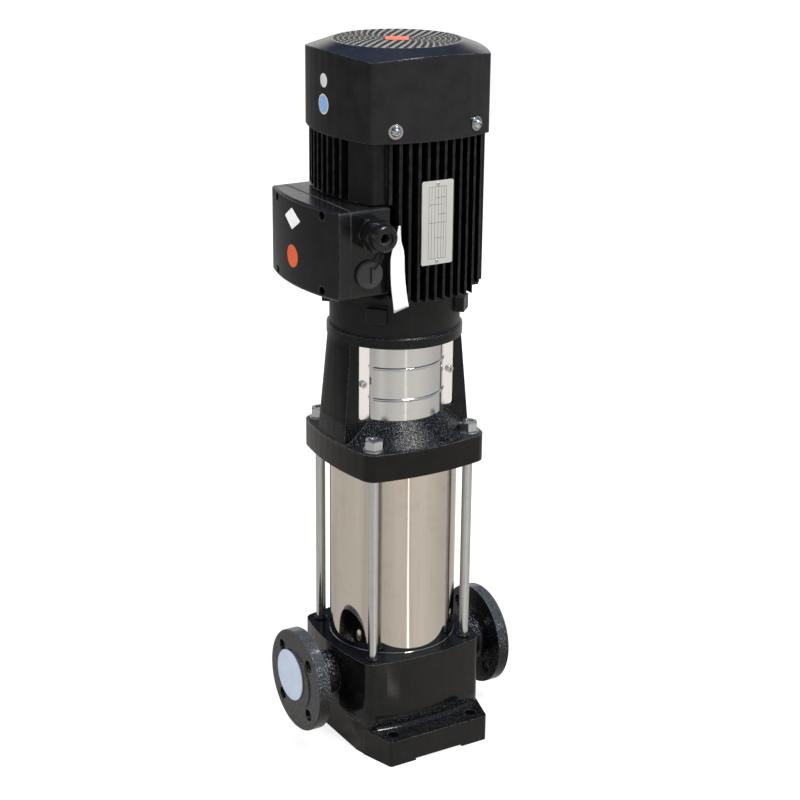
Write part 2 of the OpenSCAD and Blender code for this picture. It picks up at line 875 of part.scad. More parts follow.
module coupling_screws() {
    color([0.15, 0.15, 0.15])
        for (z = coupling_screw_zs, x = [-1, 1])
            along_front(x * coupling_screw_x, head_seat_y + 4, z) {
                cylinder(d = coupling_screw_d, h = 2 * head_seat_y + 4);
                translate([0, 0, 2 * head_seat_y + 4]) socket_head(coupling_head_d, coupling_head_t, 4);
            }
}

// A cylinder head with a hexagon socket
module socket_head(d, t, af) {
    difference() {
        cylinder(d = d, h = t);
        translate([0, 0, t - t / 2]) hex(af, t);
    }
}

module guard_outline() {
    difference() {
        circle(r = guard_r);
        circle(r = guard_r - guard_t);
        translate([-guard_r - 1, -guard_y]) square([guard_od + 2, guard_r + guard_y + 1]);
    }
    for (x = [0, 1]) mirror([x, 0]) translate([guard_flange_x - guard_t, -guard_y - guard_t])
        square([guard_flange_w + guard_t, guard_t]);
}

module guard() {
    difference() {
        union() {
            translate([0, 0, guard_z0]) linear_extrude(guard_z1 - guard_z0) guard_outline();
            for (s = [-1, 1]) translate([0, 0, guard_screw_z + s * bead_spacing / 2]) guard_bead();
        }
        for (x = [-1, 1]) along_front(x * guard_hole_x, -guard_y + 1, guard_screw_z)
            cylinder(d = guard_screw_d + 0.6, h = guard_t + 2);
        for (x = [0, 1], z = [guard_z0, guard_z1]) mirror([x, 0, 0])
            translate([guard_half, 0, z]) mirror([0, 0, z > guard_screw_z ? 1 : 0]) guard_corner();
    }
}

// What a rounded corner of a guard flange takes away
module guard_corner() {
    along_front(0, -guard_y + 1, 0) linear_extrude(guard_t + 2) difference() {
        translate([-guard_corner_r, -1]) square(guard_corner_r + 1);
        translate([-guard_corner_r, guard_corner_r]) circle(r = guard_corner_r);
    }
}

module guard_bead() {
    difference() {
        rotate_extrude() translate([guard_r - 0.2, 0]) circle(r = bead_r, $fn = 24);
        translate([0, 0, -bead_r - 1]) cylinder(r = guard_r - guard_t, h = 2 * bead_r + 2);
        translate([-guard_od, -guard_y - 6, -bead_r - 1]) cube([2 * guard_od, guard_od + 20, 2 * bead_r + 2]);
    }
}

module guard_front() {
    color([0.7, 0.69, 0.67]) guard();
}

module guard_rear() {
    color([0.7, 0.69, 0.67]) mirror([0, 1, 0]) guard();
}

module guard_screws() {
    color([0.8, 0.8, 0.78]) for (s = [0, 1]) mirror([0, s, 0]) for (x = [-1, 1])
        along_front(x * guard_hole_x, -guard_y + 10, guard_screw_z) {
            cylinder(d = guard_screw_d, h = 10 + guard_t);
            translate([0, 0, 10 + guard_t]) socket_head(guard_screw_d + 3, 2.6, 3);
        }
}

// Motor shields and frame
module lower_shield() {
    seat_z0 = motor_z0 + web_t;
    color([0.055, 0.055, 0.06]) difference() {
        union() {
            disc(motor_r, motor_z0, frame_z0);
            disc(motor_spigot_r, motor_z0 - motor_spigot_h, motor_z0 + 1);
            disc(core_ri - seat_gap, frame_z0 - 1, frame_z0 + 4);
            for (a = [45:90:315]) rotate(a) translate([motor_r - 12, -ear_w / 2, ear_z0])
                cube([12 + ear_reach, ear_w, ear_h]);
        }
        difference() {
            disc(core_ri - 4, seat_z0, frame_z0 + 5);
            disc(bearing_r + bearing_wall, seat_z0 - 1, seat_z0 + bearing_h);
        }
        disc(bearing_r + seat_gap, seat_z0, seat_z0 + bearing_h + 1);
        disc(bearing_ri + free_gap, motor_z0 - motor_spigot_h - 1, seat_z0 + 1);
        at_flange_screws() disc(flange_screw_d / 2 + seat_gap, motor_z0 - 1, seat_z0 - 1);
    }
}

module flange_screws() {
    color([0.75, 0.75, 0.73]) at_flange_screws() {
        disc(flange_screw_d / 2, ring_z0 + flange_head_t, motor_z0 + web_t - 1.5);
        translate([0, 0, ring_z0 + flange_head_t + 0.5]) mirror([0, 0, 1])
            socket_head(flange_head_d, flange_head_t, 6);
    }
}

module frame_fins() {
    for (k = [-5:6]) translate([k * fin_pitch, 0]) square([fin_t, frame_w + 2], center = true);
    for (k = [-5:5]) translate([frame_half / 2, k * side_fin_pitch]) square([frame_w, fin_t], center = true);
    for (k = [-2:5]) translate([-frame_half / 2, k * side_fin_pitch]) square([frame_w, fin_t], center = true);
    translate([-frame_half - 1, -frame_half * 0.83]) square([frame_half * 0.4, frame_half * 0.38]);
}

module frame_outline() {
    circle(r = core_r);
    intersection() {
        polygon(bowed_square(frame_half, frame_side_r, frame_corner_r));
        frame_fins();
    }
}

module motor_frame() {
    box_cut_z0 = box_z0 - 2;
    box_cut_h = box_h + 4;
    color([0.05, 0.05, 0.055]) difference() {
        union() {
            difference() {
                translate([0, 0, frame_z0]) linear_extrude(frame_h) frame_outline();
                for (a = [0:90:270]) rotate(a) translate([fin_corner, fin_corner, frame_z0 - 1])
                    cube([frame_half, frame_half, fin_corner_h + 1]);
                difference() {
                    translate([-frame_half - 2, -frame_half, box_cut_z0])
                        cube([frame_half + 2 - box_back_x + 1.5, frame_w, box_cut_h]);
                    disc(core_r, box_cut_z0 - 1, box_cut_z0 + box_cut_h + 1);
                }
            }
            translate([-seat_x, -seat_half_y, box_z0 + 4]) cube([seat_x, 2 * seat_half_y, box_h - 8]);
        }
        disc(core_ri, frame_z0 - 1, frame_z1 + 1);
        along_x(-seat_x - 1, 0, box_mid_z) cylinder(r = lead_hole_r, h = seat_x - core_ri + 10);
    }
}

module stator_core() {
    color([0.45, 0.45, 0.47]) difference() {
        ring(core_ri - seat_gap, stator_ri, stator_z0, stator_z0 + stator_h);
        for (k = [1:slot_count]) rotate(k * 360 / slot_count)
            translate([slot_r0, -slot_w / 2, stator_z0 - 1]) cube([slot_r1 - slot_r0, slot_w, stator_h + 2]);
    }
}

module stator_winding() {
    color([0.72, 0.4, 0.2]) {
        for (z = [stator_z0 - winding_h, stator_z0 + stator_h])
            ring(slot_r1 - 0.5, slot_r0 + 0.5, z, z + winding_h);
        for (k = [1:slot_count]) rotate(k * 360 / slot_count)
            translate([slot_r0 + 0.5, -slot_w / 2 + 0.2, stator_z0 - 1])
                cube([slot_r1 - slot_r0 - 1, slot_w - 0.4, stator_h + 2]);
    }
}

module bearing(z0) {
    difference() {
        ring(bearing_r, bearing_ri + running_gap, z0, z0 + bearing_h);
        for (z = [z0 - 1, z0 + bearing_h - 1]) ring(bearing_r - 4, bearing_ri + 4, z, z + 2);
    }
}

module bearing_lower() {
    color([0.7, 0.7, 0.72]) bearing(motor_z0 + web_t);
}

module bearing_upper() {
    color([0.7, 0.7, 0.72]) bearing(upper_bearing_z1 - bearing_h);
}

module upper_shield() {
    lug_l = 22;
    color([0.055, 0.055, 0.06]) difference() {
        union() {
            disc(core_r, frame_z1, upper_web_z + 6);
            disc(core_ri - seat_gap, frame_z1 - 4, frame_z1 + 1);
            disc(bearing_r + bearing_wall, upper_web_z - bearing_h, upper_web_z + 6);
            at_cover_screws() translate([-lug_w / 2, frame_z1 - cover_screw_z, -lug_l - cover_t - lug_gap])
                cube([lug_w, lug_h, lug_l]);
        }
        difference() {
            disc(core_ri - 4, frame_z1 - 5, upper_web_z);
            disc(bearing_r + bearing_wall, frame_z1 - 6, upper_web_z + 1);
        }
        disc(bearing_r + seat_gap, upper_web_z - bearing_h - 1, upper_web_z);
        disc(rotor_shaft_r, upper_web_z - 1, upper_web_z + 7);
        at_cover_screws() translate([0, 0, -12]) cylinder(d = cover_screw_d + 2 * seat_gap, h = 14);
    }
}

module motor_shaft() {
    color([0.75, 0.75, 0.76]) {
        disc(motor_shaft_d / 2, shaft_meet_z, motor_z0);
        disc(bearing_ri, motor_z0 - 4, motor_z0 + web_t + bearing_h);
        disc(rotor_shaft_r, motor_z0 + web_t + bearing_h, upper_web_z - bearing_h);
        disc(bearing_ri, upper_web_z - bearing_h - 1, upper_web_z + 8);
        disc(fan_shaft_r, upper_web_z + 7, fan_z0 + fan_h + 4);
    }
}

module rotor_core() {
    color([0.5, 0.5, 0.52]) difference() {
        union() {
            disc(stator_ri - air_gap, stator_z0, stator_z0 + stator_h);
            disc(stator_ri - 3, stator_z0 - 8, stator_z0 + stator_h + 8);
        }
        disc(rotor_shaft_r + seat_gap, stator_z0 - 9, stator_z0 + stator_h + 9);
        for (z = [stator_z0 - 9, stator_z0 + stator_h]) disc(rotor_shaft_r + 7, z, z + 9);
    }
}

module cooling_fan() {
    color([0.12, 0.12, 0.13]) difference() {
        union() {
            disc(fan_hub_r, fan_z0, fan_z0 + fan_h);
            disc(fan_od / 2, fan_z0, fan_z0 + 2);
            for (k = [1:fan_blades]) rotate(k * 360 / fan_blades)
                translate([fan_hub_r - 2, -1, fan_z0 + 1]) cube([fan_od / 2 - fan_hub_r, 2, fan_h - 5]);
        }
        disc(fan_shaft_r + seat_gap, fan_z0 - 1, fan_z0 + fan_h + 1);
    }
}

// Fan cover: a bowed square shell under a shallow cone, with a flat grille
module roof(drop, r) {
    reach = 40;
    rotate_extrude() polygon([[0, cover_z0 - 2], [0, cover_z1 - drop], [r, cover_z1 - drop],
                              [r + reach, cover_z1 - drop - reach * roof_slope], [r + reach, cover_z0 - 2]]);
}

module grille_holes() {
    ring_count = floor((grille_r - 4 - grille_ring0) / grille_ring_pitch);
    for (k = [0:ring_count]) {
        r = grille_ring0 + k * grille_ring_pitch;
        n = round(2 * PI * r / grille_hole_pitch);
        for (j = [1:n]) rotate((j + (k % 2) / 2) * 360 / n) translate([r, 0])
            circle(d = grille_hole_d, $fn = 8);
    }
}

module fan_cover() {
    plate_r = grille_r - 1.5;
    color([0.09, 0.09, 0.095]) {
        difference() {
            intersection() {
                translate([0, 0, cover_z0]) linear_extrude(cover_h)
                    polygon(bowed_square(cover_half, cover_side_r, cover_corner_r));
                roof(0, grille_r);
            }
            intersection() {
                translate([0, 0, cover_z0 - 1]) linear_extrude(cover_h)
                    polygon(bowed_square(cover_half - cover_t, cover_side_r - cover_t, cover_corner_r - cover_t));
                roof(cover_t, grille_r - 0.3);
            }
            disc(plate_r - 0.5, cover_z1 - 4, cover_z1 + 1);
            at_cover_screws() translate([0, 0, -8]) cylinder(d = cover_screw_d + 0.6, h = 12);
        }
        translate([0, 0, cover_z1 - cover_t]) linear_extrude(cover_t) difference() {
            circle(r = plate_r);
            grille_holes();
        }
    }
}

// The four cover screws stand square to the bowed sides; +Z points out of the cover
module at_cover_screws() {
    u = cover_side_r - cover_half;
    for (x = [-1, 1], y = [0, 1]) mirror([0, y, 0]) translate([0, u, cover_screw_z])
        rotate(x * asin(cover_screw_x / cover_side_r)) translate([0, -cover_side_r, 0]) rotate([90, 0, 0])
            children();
}

module cover_screws() {
    color([0.82, 0.82, 0.8]) at_cover_screws() {
        cylinder(d = cover_washer_d, h = cover_washer_t);
        translate([0, 0, -11]) cylinder(d = cover_screw_d, h = 12);
        translate([0, 0, cover_washer_t]) dome_head(cover_head_d, 5, 3.5);
    }
}

// A round dome with a hexagon socket
module dome_head(d, t, af) {
    r = (d * d / 4 + t * t) / (2 * t);
    difference() {
        intersection() {
            translate([0, 0, t - r]) sphere(r = r);
            cylinder(d = d, h = t + 1);
        }
        translate([0, 0, t / 2]) hex(af, t);
    }
}

// Terminal box
module box_outline(inset) {
    translate([0, box_mid_z]) rounded_rect(box_y - 2 * inset, box_h - 2 * inset, box_corner_r - inset);
}

module at_lid_screws() {
    for (y = [-1, 1], z = [-1, 1]) translate([0, y * lid_screw_y, box_mid_z + z * lid_screw_dz])
        rotate([0, -90, 0]) children();
}

// The box wraps round the frame's core, with a pocket at each end for the cable entries
module box_side_pocket() {
    pocket_y0 = seat_half_y + 6;
    translate([-seat_x - box_back_t - 1, pocket_y0, box_z0 + box_wall])
        cube([seat_x + box_back_t + 1 - box_back_x - box_wall, box_half_y - box_wall - pocket_y0,
              box_h - 2 * box_wall]);
}

module terminal_box() {
    back_x = seat_x + box_back_t;
    color([0.07, 0.07, 0.075]) difference() {
        union() {
            difference() {
                profile_x(-box_seam_x, box_seam_x - box_back_x) box_outline(0);
                profile_x(-box_seam_x - 1, box_seam_x + 1 - back_x) box_outline(box_wall);
                for (s = [0, 1]) mirror([0, s, 0]) box_side_pocket();
            }
            intersection() {
                ring(core_r + 4, core_r - 5, box_z0 + 1, box_z0 + box_h - 1);
                translate([-back_x, -box_half_y + 1, box_z0]) cube([back_x - box_back_x, box_y - 2, box_h]);
            }
            at_lid_screws() disc(lid_post_r - 1, back_x - 1, box_seam_x);
        }
        disc(core_r + 0.3, box_z0 - 1, box_z0 + box_h + 1);
        translate([-seat_x, -seat_half_y - 0.5, box_z0 - 1]) cube([seat_x, 2 * seat_half_y + 1, box_h + 2]);
        along_x(-back_x - 1, 0, box_mid_z) cylinder(r = lead_hole_r, h = box_back_t + 3);
        at_lid_screws() disc(lid_screw_d / 2 + seat_gap, box_seam_x - lid_screw_grip - 1, box_seam_x + 1);
        for (z = [gland_z, plug_z]) along_front(-gland_x, -box_half_y + box_wall + 2, z)
            cylinder(r = gland_thread_r + seat_gap, h = box_wall + 4);
    }
}

// A disc with its rim rounded at both ends, as thick as the box is high
module bow_solid(r) {
    translate([lid_axis_x, 0, box_z0]) rotate_extrude() {
        square([r - lid_edge_r, box_h]);
        translate([0, lid_edge_r]) square([r, box_h - 2 * lid_edge_r]);
        for (z = [lid_edge_r, box_h - lid_edge_r]) translate([r - lid_edge_r, z]) circle(r = lid_edge_r);
    }
}

module box_lid() {
    depth = lid_depth + lid_bow + 1;
    color([0.07, 0.07, 0.075]) difference() {
        union() {
            difference() {
                intersection() {
                    profile_x(-box_seam_x - depth, depth) box_outline(0);
                    bow_solid(lid_r);
                }
                intersection() {
                    profile_x(-box_seam_x - depth, depth + 1) box_outline(box_wall);
                    translate([lid_axis_x, 0, box_z0 - 1]) cylinder(r = lid_r - box_wall, h = box_h + 2);
                }
            }
            intersection() {
                at_lid_screws() disc(lid_post_r, box_seam_x, box_seam_x + depth);
                profile_x(-box_seam_x - depth, depth) box_outline(1);
                bow_solid(lid_r - 1);
            }
        }
        at_lid_screws() {
            disc(lid_pocket_r, lid_floor_x, box_seam_x + depth + 1);
            disc(lid_screw_d / 2 + 0.3, box_seam_x - 1, lid_floor_x + 1);
        }
    }
}

module lid_screws() {
    color([0.3, 0.3, 0.3]) at_lid_screws() {
        disc(lid_screw_d / 2, box_seam_x - lid_screw_grip, lid_floor_x);
        translate([0, 0, lid_floor_x]) socket_head(lid_head_d, lid_head_t, 4);
    }
}

module terminal_block() {
    back_x = seat_x + box_back_t;
    color([0.35, 0.22, 0.12]) difference() {
        union() {
            translate([-back_x - block_t, -block_y / 2, box_mid_z - block_z / 2])
                cube([block_t, block_y, block_z]);
            for (y = [-1, 0, 1], z = [-1, 1]) along_x(-back_x - block_t - stud_l, y * 15, box_mid_z + z * 12)
                cylinder(d = stud_d, h = stud_l + 1);
        }
        for (y = [-1, 1]) translate([-back_x - block_t - 1, y * 7.5 - 0.75, box_mid_z - block_z / 2 - 1])
            cube([4, 1.5, block_z + 2]);
    }
}

// Cable gland on the front of the box, and the plug below it
module gland_body() {
    color([0.06, 0.06, 0.07]) along_front(-gland_x, -gland_y, gland_z) difference() {
        union() {
            chamfered_hex(gland_af, gland_hex_t);
            translate([0, 0, -gland_inner_t]) cylinder(r = gland_thread_r, h = gland_inner_t);
            cylinder(r = gland_thread_r, h = gland_hex_t + gland_bare_t + gland_nut_hex_t - 3);
        }
        translate([0, 0, -gland_inner_t - 1]) cylinder(r = gland_mouth_r + 1.5, h = 60);
    }
}

module gland_nut() {
    top = gland_nut_hex_t + gland_dome_t;
    color([0.05, 0.05, 0.06])
        along_front(-gland_x, -gland_y - gland_hex_t - gland_bare_t, gland_z) difference() {
            union() {
                chamfered_hex(gland_af, gland_nut_hex_t);
                translate([0, 0, gland_nut_hex_t]) rotate_extrude() {
                    square([gland_dome_r - 4, gland_dome_t]);
                    square([gland_dome_r, gland_dome_t - 4]);
                    translate([gland_dome_r - 4, gland_dome_t - 4]) circle(r = 4);
                }
            }
            translate([0, 0, -1]) cylinder(r = gland_thread_r + seat_gap, h = gland_nut_hex_t + 1);
            translate([0, 0, gland_nut_hex_t - 0.5]) cylinder(r = gland_mouth_r + 2, h = gland_dome_t - 2);
            cylinder(r = gland_mouth_r, h = top + 1);
        }
}

module gland_seal() {
    z0 = gland_nut_hex_t - 0.4;
    color([0.15, 0.15, 0.15])
        along_front(-gland_x, -gland_y - gland_hex_t - gland_bare_t, gland_z)
            ring(gland_mouth_r + 2 - seat_gap, gland_mouth_r - 2, z0, z0 + gland_dome_t - 2.2);
}

module blanking_plug() {
    color([0.12, 0.12, 0.125]) along_front(-gland_x, -gland_y, plug_z) difference() {
        union() {
            cylinder(d = plug_d, h = plug_t - 1);
            translate([0, 0, plug_t - 1]) cylinder(d1 = plug_d, d2 = plug_d - 2, h = 1);
            translate([0, 0, -gland_inner_t]) cylinder(r = gland_thread_r, h = gland_inner_t);
        }
        translate([-plug_slot_w / 2, -plug_slot_l / 2, plug_t - plug_slot_d])
            cube([plug_slot_w, plug_slot_l, plug_slot_d + 1]);
        translate([0, 0, -gland_inner_t - 1]) cylinder(r = gland_thread_r - 3, h = gland_inner_t);
    }
}

module nameplate() {
    color([0.8, 0.8, 0.77]) translate([0, -frame_half - seat_gap, nameplate_z]) rotate([90, 0, 0])
        linear_extrude(nameplate_t) rounded_rect(nameplate_w, nameplate_h, 2);
}

// The tag: a tie round the gland's bare thread, and a strip that hangs from it
module hang_tag() {
    y = -gland_y - gland_hex_t - 0.7;
    dx = gland_x - tag_x;
    color([0.95, 0.95, 0.94]) translate([-gland_x, y, gland_z]) rotate([90, 0, 0]) {
        linear_extrude(loop_t) difference() {
            hull() {
                circle(r = gland_thread_r + 1.3, $fn = 32);
                translate([dx, 5]) circle(r = 2, $fn = 16);
            }
            hull() {
                circle(r = gland_thread_r + 0.2, $fn = 32);
                translate([dx - 1, 5]) circle(r = 0.8, $fn = 16);
            }
        }
        translate([dx, 5, 0]) linear_extrude(tag_t) polygon([
            [-tag_top_w / 2, 0], [-tag_w / 2, -tag_shoulder], [-tag_w / 2, 5 - tag_len],
            [tag_w / 2, 9 - tag_len], [tag_w / 2 - 2, -tag_shoulder], [tag_top_w / 2, 0]]);
    }
}

// Protective disc over the suction port
module port_cover() {
    color([0.75, 0.82, 0.88]) along_x(-face_x - port_cover_t, port_cover_dy, port_z + port_cover_dz)
        cylinder(d = port_cover_d, h = port_cover_t);
}

pump_base();
drain_plug();
sleeve_orings();
outer_sleeve();
tie_rods();
rod_nuts();
rod_washers();
motor_stool();
vent_plug();
seal_cover();
seal_seat();
inlet_stage();
outlet_stage();
for (i = [1:stage_count]) diffuser(i);
guard_front();
guard_rear();
guard_screws();
lower_shield();
flange_screws();
motor_frame();
stator_core();
stator_winding();
bearing_lower();
bearing_upper();
upper_shield();
fan_cover();
cover_screws();
terminal_box();
box_lid();
lid_screws();
terminal_block();
gland_body();
gland_nut();
gland_seal();
blanking_plug();
nameplate();
hang_tag();
pump_shaft();
impeller_nut();
seal_head();
coupling_front();
coupling_rear();
coupling_screws();
for (i = [1:stage_count]) impeller(i);
motor_shaft();
rotor_core();
cooling_fan();
port_cover();
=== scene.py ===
"""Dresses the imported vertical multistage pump: paint, steel, plastics, plain stickers and small trim."""

import json
import math

import bmesh
import bpy
from bpy.props import FloatProperty, FloatVectorProperty, IntProperty, PointerProperty
from mathutils import Matrix, Vector


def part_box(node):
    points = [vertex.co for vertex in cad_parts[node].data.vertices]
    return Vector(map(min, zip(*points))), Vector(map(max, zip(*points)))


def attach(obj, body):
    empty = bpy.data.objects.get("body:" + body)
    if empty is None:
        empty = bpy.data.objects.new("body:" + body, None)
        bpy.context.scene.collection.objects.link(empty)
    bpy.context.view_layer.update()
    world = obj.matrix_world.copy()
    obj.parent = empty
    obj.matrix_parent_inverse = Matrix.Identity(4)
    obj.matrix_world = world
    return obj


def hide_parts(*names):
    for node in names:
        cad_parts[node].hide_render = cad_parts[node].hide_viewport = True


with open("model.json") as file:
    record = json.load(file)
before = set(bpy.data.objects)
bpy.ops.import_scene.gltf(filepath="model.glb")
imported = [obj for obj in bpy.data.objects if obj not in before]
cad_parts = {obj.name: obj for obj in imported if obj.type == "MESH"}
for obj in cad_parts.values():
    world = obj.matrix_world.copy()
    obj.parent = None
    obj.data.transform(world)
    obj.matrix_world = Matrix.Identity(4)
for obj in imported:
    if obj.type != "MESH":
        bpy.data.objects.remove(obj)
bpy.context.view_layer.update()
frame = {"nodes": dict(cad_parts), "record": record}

bl_info = {
    "name": "Vertical multistage pump",
    "version": (1, 0, 0),
    "blender": (4, 5, 0),
    "location": "View3D > Sidebar > Pump",
    "description": "Finishes and small trim for an in-line vertical pump with its motor",
    "category": "Object",
}

MM = 0.001

# Borders of the finishes: a mask rises or falls between the two places of a pair
PORT_AXIS = 75 * MM
PORT_GRIT = (80 * MM, 86 * MM)
PORT_CROWN = (109 * MM, 110.5 * MM)
COVE_FOOT = (34.5 * MM, 36 * MM)
COVE_TOP = (41 * MM, 45 * MM)
RIM_RADIUS = (55.5 * MM, 56.5 * MM)
RIM_REACH = (100 * MM, 105 * MM)
STOOL_FLANGE_TOP = (352 * MM, 354.5 * MM)
STOOL_DOME_TOP = (377 * MM, 381 * MM)
STOOL_RING_FOOT = (460 * MM, 464 * MM)
GRILLE_EDGE = (66.5 * MM, 67.5 * MM)
GRILLE_HEIGHT = (760 * MM, 765 * MM)
GUARD_BEND = (40 * MM, 41 * MM)

# Tones of what lies on the surfaces, and of painted glints, highlights and reflections
# Painted glints: tone of the bright specks laid into the black paints
PAINTED_GLINT_TONE = (0.38, 0.43, 0.53)
# Painted highlight: the lighter bluish band on the upper rims of the ports
RIM_HIGHLIGHT_TONE = (0.06, 0.066, 0.074)
PAINT_DUST = (0.1, 0.096, 0.088)
PLASTIC_DUST = (0.2, 0.195, 0.185)
METAL_STAIN = (0.3, 0.235, 0.18)
# Painted reflection: near-white tone of the guards' flat flanges
GUARD_FLANGE_REFLECTION = (0.9, 0.89, 0.87)

# Forms of the frame that the trim follows
HOLE_RADIUS = 2.3 * MM
HOLE_PITCH = 8.7 * MM
HOLE_RINGS = [(14.0 + 5.5 * k) * MM for k in range(10)]
ROD_RADIUS = 5.5 * MM
COVER_BOW = 164 * MM
LID_BOW = 213.1 * MM
GLAND_NECK = 13.1 * MM

STILL = (0.0, 0.0, 0.0)
UNIT = (1.0, 1.0, 1.0)


def length(label, text, default):
    """A size in metres that a user can change"""
    return FloatProperty(name=label, description=text, default=default, min=0.0, max=10.0, unit="LENGTH",
                         precision=5)


def share(label, text, default):
    """A plain amount that a user can change"""
    return FloatProperty(name=label, description=text, default=default, min=0.0, max=1.0)


def angle(label, text, degrees):
    """An angle that a user can change"""
    return FloatProperty(name=label, description=text, default=math.radians(degrees), subtype="ANGLE")


def colour(label, text, default):
    """A colour that a user can change"""
    return FloatVectorProperty(name=label, description=text, default=default, min=0.0, max=1.0, size=3,
                               subtype="COLOR")


class PumpPaint(bpy.types.PropertyGroup):
    """Paint of the castings, the motor, the box and the fan cover"""

    casting: colour("Casting", "Gloss black of the foot and the motor stool", (0.0032, 0.0031, 0.003))
    motor: colour("Motor", "Satin black of the finned frame and its shields", (0.0028, 0.0028, 0.0029))
    box: colour("Terminal box", "Satin black of the terminal box and lid", (0.0034, 0.0034, 0.0036))
    cover: colour("Fan cover", "Charcoal of the fan cover", (0.0075, 0.0076, 0.008))
    # Painted reflection: this grey lightens the perforated top of the fan cover
    grille: colour("Grille", "Grey of the web between the grille holes", (0.08, 0.08, 0.08))
    rims: colour("Grille rims", "Grey of the rolled rims", (0.03, 0.03, 0.03))
    # Wear and painted highlight: this tone and its amount also lay bright lines and specks along edges where
    # highlights fall
    worn_and_highlit: colour("Worn edge", "Tone of paint rubbed thin along an edge", (0.36, 0.365, 0.38))
    wear_and_highlight: share("Edge wear", "How much paint is rubbed off the edges of motor, box and cover", 0.35)
    grit: length("Casting grit", "Height of the grit under the casting paint", 0.0005)


class PumpSteel(bpy.types.PropertyGroup):
    """Bare metals"""

    sleeve: colour("Sleeve", "Warm polished stainless of the sleeve", (0.57, 0.525, 0.465))
    guard: colour("Guards", "Brushed stainless of the coupling guards", (0.61, 0.61, 0.6))
    zinc: colour("Zinc", "Bright zinc of the rods, nuts, washers and plugs", (0.525, 0.537, 0.541))
    stage: colour("Stages", "Pressed stainless of the stages", (0.55, 0.56, 0.55))
    edge_radius: length("Edge radius", "Size of the rounding seen on the edges of bare metal", 0.0004)


class PumpTrim(bpy.types.PropertyGroup):
    """Small trim on the motor, the box and the rods"""

    rim_radius: length("Grille rim", "Radius of the section of the rim round each grille hole", 0.00026)
    collar_radius: length("Rod collar", "Radius of the section of the collar at each rod's foot", 0.0011)
    bead_count: IntProperty(name="Keeper beads", description="Beads on the strap between gland and plug",
                            default=9, min=2, max=30)
    line_width: length("Ruled line", "Width of a ruled line on the nameplate", 0.0003)
    sticker: colour("Orange sticker", "Colour of the plain orange stickers", (0.72, 0.115, 0.03))
    blue: colour("Blue sticker", "Colour of the plain blue sticker", (0.22, 0.42, 0.72))


class PumpStage(bpy.types.PropertyGroup):
    """Camera, lamps and floor"""

    azimuth: angle("Azimuth", "Side that the camera looks from", -30.96)
    elevation: angle("Elevation", "Height of the camera above the horizon", 19.31)
    roll: angle("Roll", "Turn of the camera about its own axis", 0.55)
    distance: length("Distance", "Distance from the camera to its target", 2.01794)
    target_z: length("Target height", "Height of the point that the camera looks at", 0.38537)
    lens: FloatProperty(name="Lens", description="Focal length", default=83.36, min=10.0, max=300.0,
                        unit="CAMERA")
    floor: colour("Floor", "Colour of the floor", (0.25, 0.25, 0.25))
    glow: share("Floor glow", "Brightness of the floor to the camera, besides its own light", 0.95)
    reflected: share("Reflected floor", "Floor brightness that gloss and metal see", 0.45)


# Small builders

def link(obj):
    """Puts a new object into the scene"""
    bpy.context.scene.collection.objects.link(obj)
    return obj


def mesh_object(name, points, faces, smooth=False):
    """An object from points and faces"""
    mesh = bpy.data.meshes.new(name)
    mesh.from_pydata([tuple(p) for p in points], [], faces)
    mesh.validate()
    for face in mesh.polygons:
        face.use_smooth = smooth
    return link(bpy.data.objects.new(name, mesh))


def seat(obj, body, material):
    """Gives a finished piece its finish and its slot, and sends it along with its body"""
    obj.data.materials.clear()
    obj.data.materials.append(material)
    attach(obj, body)


def rgba(tone):
    """A colour with full alpha"""
    return (tone[0], tone[1], tone[2], 1.0)


class Graph:
    """Adds nodes to one tree; a socket takes a plain value or another node's output"""

    def __init__(self, tree):
        self.tree = tree

    def node(self, kind, inputs=None, **settings):
        made = self.tree.nodes.new(kind)
        for key, value in settings.items():
            setattr(made, key, value)
        for key, value in (inputs or {}).items():
            if isinstance(value, bpy.types.NodeSocket):
                self.join(value, made.inputs[key])
            else:
                made.inputs[key].default_value = value
        return made

    def join(self, socket, target):
        self.tree.links.new(socket, target)

    def math(self, operation, a, b=0.0, clamp=False):
        return self.node("ShaderNodeMath", {0: a, 1: b}, operation=operation, use_clamp=clamp).outputs[0]

    def times(self, first, *others):
        for other in others:
            first = self.math("MULTIPLY", first, other)
        return first

    def vector(self, operation, a, b=STILL):
        """Vector arithmetic; a length or a dot product comes out as a plain value"""
        made = self.node("ShaderNodeVectorMath", {0: a, 1: b}, operation=operation)
        return made.outputs["Value" if operation in ("LENGTH", "DOT_PRODUCT") else "Vector"]

    def mix(self, factor, a, b):
        return self.node("ShaderNodeMix", {0: factor, 6: a, 7: b}, data_type="RGBA").outputs[2]

    def span(self, value, low, high, to_low=0.0, to_high=1.0):
        """Carries the range from low to high over to another, and holds its ends"""
        return self.node("ShaderNodeMapRange", {"Value": value, "From Min": low, "From Max": high,
                                                "To Min": to_low, "To Max": to_high}).outputs[0]

    def noise(self, vector, scale, detail, rough):
        return self.node("ShaderNodeTexNoise", {"Vector": vector, "Scale": scale, "Detail": detail,
                                                "Roughness": rough}).outputs["Fac"]

    def ramp(self, factor, rows):
        """Tones between rows of (place, tone), of which the first lies at 0 and the last at 1"""
        made = self.node("ShaderNodeValToRGB", {"Fac": factor})
        stops = made.color_ramp.elements
        for place, tone in rows[1:-1]:
            stops.new(place).color = rgba(tone)
        for end in (0, -1):
            stops[end].color = rgba(rows[end][1])
        return made.outputs["Color"]

    def axis(self, vector, name):
        return self.node("ShaderNodeSeparateXYZ", {0: vector}).outputs[name]

    def place(self):
        """Position in the piece's own frame"""
        return self.node("ShaderNodeTexCoord").outputs["Object"]

    def along(self, name):
        """Place along one axis of the piece"""
        return self.axis(self.place(), name)

    def aside(self, name):
        """Distance from the middle along one axis of the piece"""
        return self.math("ABSOLUTE", self.along(name))

    def normal(self):
        return self.node("ShaderNodeNewGeometry").outputs["Normal"]


def cleared(holder):
    """The emptied graph of a material or world"""
    holder.use_nodes = True
    holder.node_tree.nodes.clear()
    return Graph(holder.node_tree)


